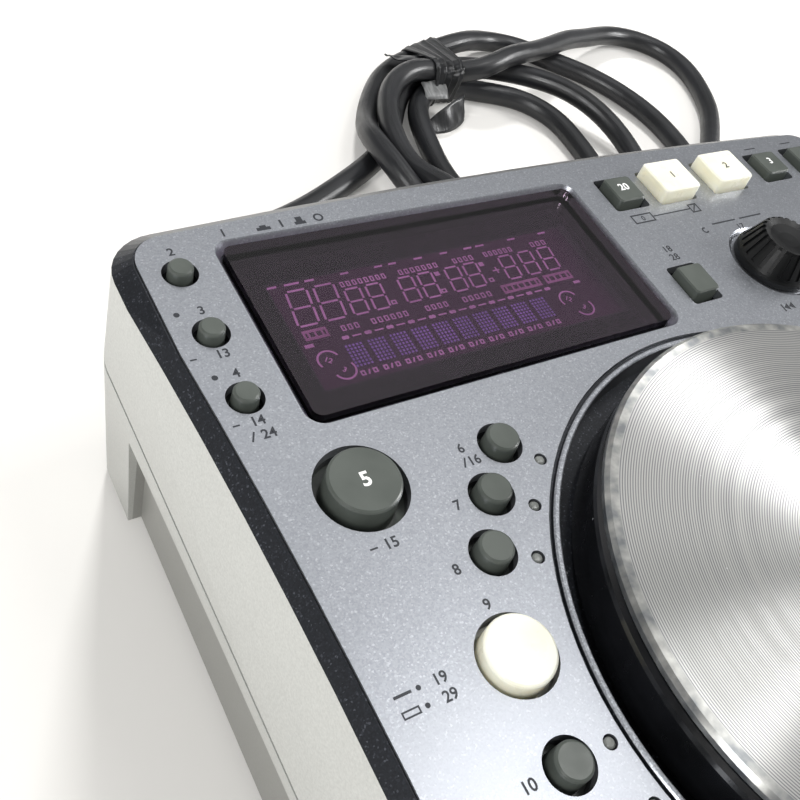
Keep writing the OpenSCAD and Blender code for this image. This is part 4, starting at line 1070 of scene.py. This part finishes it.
def display_dots():
    """Ten cells of five by seven dots."""
    cell = grown(grid_tree("dot_cell"), {
        "Columns": 5, "Rows": 7, "Pitch X": 0.84 * MM, "Pitch Y": 0.86 * MM,
        "Tile X": 0.5 * MM, "Tile Y": 0.56 * MM, "Finish": DOT_PHOSPHOR,
    })
    points, faces = [], []
    for k in range(CELL_COUNT):
        place = Vector(((CELL_FROM + k * CELL_PITCH) * MM, 92.25 * MM, PAINTED_GLOW_AT))
        faces += [[len(points) + i for i in face.vertices] for face in cell.polygons]
        points += [place + vertex.co for vertex in cell.vertices]
    dress(mesh_piece("display_dots", points, faces, smooth=False), DOT_PHOSPHOR)


display_haze()
display_figures()
display_boxes()
display_dots()


# ---------- printing on the panel ----------

# print lies just above what it is on
PANEL_PRINT_AT = top("face_plate") + 0.015 * MM
KEY_PRINT = 0.012 * MM
INK = printing_ink("charcoal_ink", "#2E3035")
WHITE_INK = printing_ink("white_ink", "#F2F2F0", 0.45)
# numbers on the panel: the key they mark, and how far from its middle
KEY_MARKS = [
    ("2", "title", 0.3, 6.0), ("3", "memo", 0.3, 5.9), ("13", "memo", 0.3, -5.2), ("4", "time", 0.6, 5.8),
    ("14", "time", 0.3, -5.3), ("24", "time", 0.9, -8.4), ("6", "echo", -8.2, 1.5),
    ("16", "echo", -6.8, -1.6), ("7", "flanger", -7.4, 0.2), ("8", "filter", -8.0, -0.4),
    ("9", "mode", 0, 9.5), ("10", "drag", -7.6, 0.2), ("11", "brake", -7.6, -0.6),
    ("12", "reverse", -7.2, -1.4), ("18", "next", 0.8, 11.6), ("28", "next", 0.8, 8.8),
]
# numbers that stand by themselves: their middle and height
FREE_MARKS = [
    ("1", -83.5, 127.1, 2.2), ("15", -84.6, 50.6, 2.1), ("19", -88.8, 26.9, 2.0), ("29", -88.8, 23.9, 2.0),
    ("0", 21.2, 108.7, 1.6), ("17", 49.0, 99.6, 1.9),
]
# bars on the panel: their middle, width and height
FREE_BARS = [
    (-74.6, 126.4, 3.2, 0.9), (-74.6, 127.1, 1.5, 0.6), (-70.3, 127.1, 0.5, 2.2), (-66.0, 126.4, 2.6, 0.9),
    (-66.0, 127.5, 1.5, 1.4), (-88.2, 50.6, 1.5, 0.35), (-95.9, 26.9, 3.2, 0.5), (31.3, 108.7, 13, 0.4),
    (44.6, 102.2, 8.6, 0.5), (54.8, 102.2, 8.4, 0.5),
]
# bars beside a key: how far from its middle, their width and height
KEY_BARS = [
    ("memo", -5.6, -5.2, 1.3, 0.35), ("time", -4.0, -5.3, 1.3, 0.35), ("cue_b", 0, 7.9, 4.5, 0.4),
    ("exit", 0, 7.9, 4.5, 0.4), ("bend_down", 0, 6.6, 2.4, 0.5), ("bend_up", 0, 6.6, 2.4, 0.5),
    ("bend_up", 0, 6.6, 0.5, 2.4), ("cue", 0, 16, 5, 0.5), ("play", 18.5, 0, 0.7, 2.8),
    ("play", 20.1, 0, 0.7, 2.8), ("eject", 0, 5.7, 3.6, 0.6),
]
# numbers on the caps of keys: ink, height and how far behind the middle
LEGENDS = [
    ("flip", "20", WHITE_INK, 2.4, 0.5), ("cue_b", "3", WHITE_INK, 2.4, 0.5),
    ("exit", "4", WHITE_INK, 2.4, 0.5), ("loop_in", "1", INK, 2.2, 0), ("loop_out", "2", INK, 2.2, 0),
    ("tap", "5", WHITE_INK, 3.0, 0), ("cue", "21", INK, 3.2, 0), ("play", "22", INK, 3.2, 0),
]


def beside(key, dx, dy):
    """A point on the panel, in millimetres, dx and dy from the middle of a key."""
    at = middle(key + "_button")
    return at.x / MM + dx, at.y / MM + dy


def panel_print():
    """Numbers, dots and dashes that mark the keys, in place of words."""
    flat = Flat(PANEL_PRINT_AT)
    for text, key, dx, dy in KEY_MARKS:
        flat.number(text, *beside(key, dx, dy), 2.1)
    for text, x, y, high in FREE_MARKS:
        flat.number(text, x, y, high)
    for x, y, wide, high in FREE_BARS:
        flat.bar(x, y, wide, high)
    for key, dx, dy, wide, high in KEY_BARS:
        flat.bar(*beside(key, dx, dy), wide, high)
    # rings beside the power switch and behind the select knob
    flat.arc(-61.4, 127.1, 0.95, 0.45, 0, 360)
    flat.arc(36.6, 100.8, 0.8, 0.45, 60, 330)
    # dots beside the left column and the mode key
    flat.disc(*beside("memo", -4.6, 5.9), 0.6)
    flat.disc(*beside("time", -3.5, 5.8), 0.6)
    flat.disc(-93.0, 26.9, 0.45)
    flat.disc(-93.0, 23.9, 0.45)
    flat.frame(-95.9, 23.9, 3.2, 1.3, 0.3)
    # slanted dashes before second functions
    for key, dx, dy in (("time", -2.6, -9.4), ("echo", -9.6, -2.6)):
        flat.stroke(beside(key, dx, dy), beside(key, dx + 1, dy + 2), 0.35)
    # the two boxed marks joined by a line, right of the display
    flat.frame(21.2, 108.7, 7, 3.1, 0.45)
    flat.frame(39.4, 108.7, 3.2, 3.1, 0.45)
    flat.stroke((38.4, 107.6), (40.4, 109.8), 0.35)
    # double arrows on both sides of the select knob
    for x, turn in ((40.6, -1), (57.4, 1)):
        flat.bar(x + turn * 1.9, 72.6, 0.5, 2.3)
        flat.shape([(x + turn * 1.6, 72.6), (x - turn * 0.1, 73.7), (x - turn * 0.1, 71.5)])
        flat.shape([(x - turn * 0.1, 72.6), (x - turn * 1.8, 73.7), (x - turn * 1.8, 71.5)])
    # play and eject signs
    x, y = beside("play", 17.5, 0)
    flat.shape([(x - 3.2, y - 1.5), (x - 0.4, y), (x - 3.2, y + 1.5)])
    x, y = beside("eject", 0, 6.6)
    flat.shape([(x - 1.8, y - 0.2), (x + 1.8, y - 0.2), (x, y + 1.5)])
    flat.piece("panel_print", INK, "cover_plastic")


def fader_scale():
    """Ticks beside the pitch fader, longer at the middle and the ends."""
    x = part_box("pitch_knob")[0].x / MM - 3.2
    y = middle("pitch_knob").y / MM
    flat = Flat(PANEL_PRINT_AT)
    for k in range(-12, 13):
        long = 3.4 if k % 12 == 0 else 2.4 if k % 3 == 0 else 1.5
        flat.bar(x - long / 2, y + 2.5 * k, long, 0.35)
    flat.number("0", x - 5.4, y, 2.0)
    flat.piece("fader_scale", INK, "cover_plastic")


def key_legend(key, text, ink, high, dy):
    """A plain number printed on a key's cap."""
    flat = Flat(top(key + "_button") + KEY_PRINT)
    flat.number(text, *beside(key, 0, dy), high)
    flat.piece(key + "_legend", ink, "key_cream", key + "_button_part")


panel_print()
fader_scale()
for legend in LEGENDS:
    key_legend(*legend)


# ---------- window frame print ----------

def window_print():
    """Black border printed on the back of the window, open over the display."""
    low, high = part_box("display_lens")
    inset = 0.4
    x0, x1 = low.x / MM + inset, high.x / MM - inset
    y0, y1 = low.y / MM + inset, high.y / MM - inset
    # the opening
    left, front, right, back = -79.4, 85.6, 0.6, 114.6
    flat = Flat(BORDER_AT)
    for a, b, c, d in (
        (x0, y0, x1, front), (x0, back, x1, y1), (x0, front, left, back), (right, front, x1, back),
    ):
        flat.shape([(a, b), (c, b), (c, d), (a, d)])
    ink = printing_ink("window_black", "#0B090C", 0.6, Specular_IOR_Level=0.05)
    flat.piece("window_border", ink, "lens_acrylic")


window_print()


# ---------- lights, floor and background ----------

# the dome: its radius in metres, the height of its foot as an angle, and the azimuth of its far side
DOME_RADIUS = 2.0
DOME_FOOT = 8
DOME_FAR = math.radians(55)
FLOOR_REACH = 3.0


def soft_box(name, at, aim, wide, high, watts, glints=True):
    """A rectangular white studio lamp that faces a point; mirrors may be kept from showing it."""
    data = bpy.data.lights.new(name, "AREA")
    data.shape = "RECTANGLE"
    data.size = wide
    data.size_y = high
    data.energy = watts
    lamp = bpy.data.objects.new(name, data)
    lamp.visible_glossy = glints
    at = Vector(at)
    facing = (at - Vector(aim)).to_track_quat("Z", "Y").to_matrix().to_4x4()
    lamp.matrix_world = Matrix.Translation(at) @ facing
    scene.collection.objects.link(lamp)


def make_world():
    """An even dim sky that looks white to the camera, to mirrors and through glass."""
    world = bpy.data.worlds.new("studio")
    scene.world = world
    world.use_nodes = True
    tree = world.node_tree
    tree.nodes.clear()
    rays = put(tree, "ShaderNodeLightPath").outputs
    seen = rays["Is Camera Ray"]
    for kind in ("Is Transmission Ray", "Is Glossy Ray"):
        seen = put(tree, "ShaderNodeMath", {0: seen, 1: rays[kind]}, operation="MAXIMUM")
    sky = put(tree, "ShaderNodeBackground", {"Color": "#FFFFFF", "Strength": 0.42})
    white = put(tree, "ShaderNodeBackground", {"Color": "#FFFFFF", "Strength": 1.0})
    mixed = put(tree, "ShaderNodeMixShader", {0: seen, 1: sky, 2: white})
    put(tree, "ShaderNodeOutputWorld", {"Surface": mixed})


def make_dome():
    """Dim studio dome that only mirrors see: light at its foot, and bright high up on the far side."""
    columns, rows = 48, 16
    points = []
    for j in range(rows):
        up = math.radians(DOME_FOOT + (90 - DOME_FOOT) * j / rows)
        for i in range(columns):
            turn = 2 * math.pi * i / columns
            points.append(DOME_RADIUS * Vector((
                math.sin(turn) * math.cos(up), math.cos(turn) * math.cos(up), math.sin(up),
            )))
    faces = ring_faces(rows, columns)
    faces.append(tuple((rows - 1) * columns + i for i in range(columns)))
    dome = mesh_piece("dome", points, faces)
    material = bpy.data.materials.new("dome_cloth")
    material.use_nodes = True
    tree = material.node_tree
    tree.nodes.clear()
    place = put(tree, "ShaderNodeTexCoord").outputs["Object"]
    level = put(tree, "ShaderNodeMapRange", {
        "Value": put(tree, "ShaderNodeSeparateXYZ", {"Vector": place}).outputs["Z"], "From Max": DOME_RADIUS,
    })
    far = put(tree, "ShaderNodeValToRGB", {"Fac": level}, [
        (0.14, "#868686"), (0.25, "#464646"), (0.42, "#4E4E4E"), (0.58, "#868686"), (0.73, "#C0C0C0"),
        (0.86, "#D8D8D8"), (0.93, "#909090"), (1.0, "#606060"),
    ])
    near = put(tree, "ShaderNodeValToRGB", {"Fac": level}, [
        (0.14, "#B8B8B8"), (0.3, "#707070"), (0.5, "#484848"), (1.0, "#484848"),
    ])
    side = put(
        tree, "ShaderNodeVectorMath", {0: place, 1: (math.sin(DOME_FAR), math.cos(DOME_FAR), 0)},
        operation="DOT_PRODUCT",
    ).outputs["Value"]
    beyond = put(tree, "ShaderNodeMapRange", {
        "Value": side, "From Min": -0.1 * DOME_RADIUS, "From Max": 0.35 * DOME_RADIUS,
    })
    both = put(tree, "ShaderNodeMix", {"Factor": beyond, 6: near, 7: far}, data_type="RGBA").outputs[2]
    light = put(tree, "ShaderNodeEmission", {"Color": both, "Strength": 2.0})
    put(tree, "ShaderNodeOutputMaterial", {"Surface": light})
    dome.data.materials.append(material)
    dome.visible_camera = False
    dome.visible_diffuse = False
    dome.visible_transmission = False
    dome.visible_shadow = False


def make_floor():
    """A white table top that keeps soft shadows and runs out into the white background."""
    material, tree, _ = start_finish("table_white", "#E6E4E0", 0.7, Specular_IOR_Level=0.2)
    plain = tree.nodes["Principled BSDF"]
    # the camera alone sees the table a little lighter
    lift = put(tree, "ShaderNodeEmission", {"Color": (1, 0.99, 0.97, 1), "Strength": 0.1})
    both = put(tree, "ShaderNodeAddShader", {0: plain, 1: lift})
    seen = put(tree, "ShaderNodeLightPath").outputs["Is Camera Ray"]
    mixed = put(tree, "ShaderNodeMixShader", {0: seen, 1: plain, 2: both})
    feed(tree, tree.nodes["Material Output"].inputs["Surface"], mixed)
    corners = [Vector((x, y, 0)) * FLOOR_REACH for x, y in ((-1, -1), (1, -1), (1, 1), (-1, 1))]
    floor = mesh_piece("table", corners, [(0, 1, 2, 3)], smooth=False)
    floor.data.materials.append(material)


soft_box("top_box", (0.47, 0.06, 1.32), (0, 0, 0.05), 0.3, 0.4, 2.7)
soft_box("rear_box", (0.35, 1.15, 1.00), (0, 0.1, 0.05), 0.2, 0.2, 13, glints=False)
soft_box("low_box", (1.3, -0.30, 0.70), (0, 0, 0.05), 0.5, 0.35, 15)
soft_box("left_box", (-1.3, -0.47, 0.95), (0, 0, 0.05), 0.3, 0.9, 15)
make_world()
make_dome()
make_floor()
scene.view_settings.view_transform = "Standard"
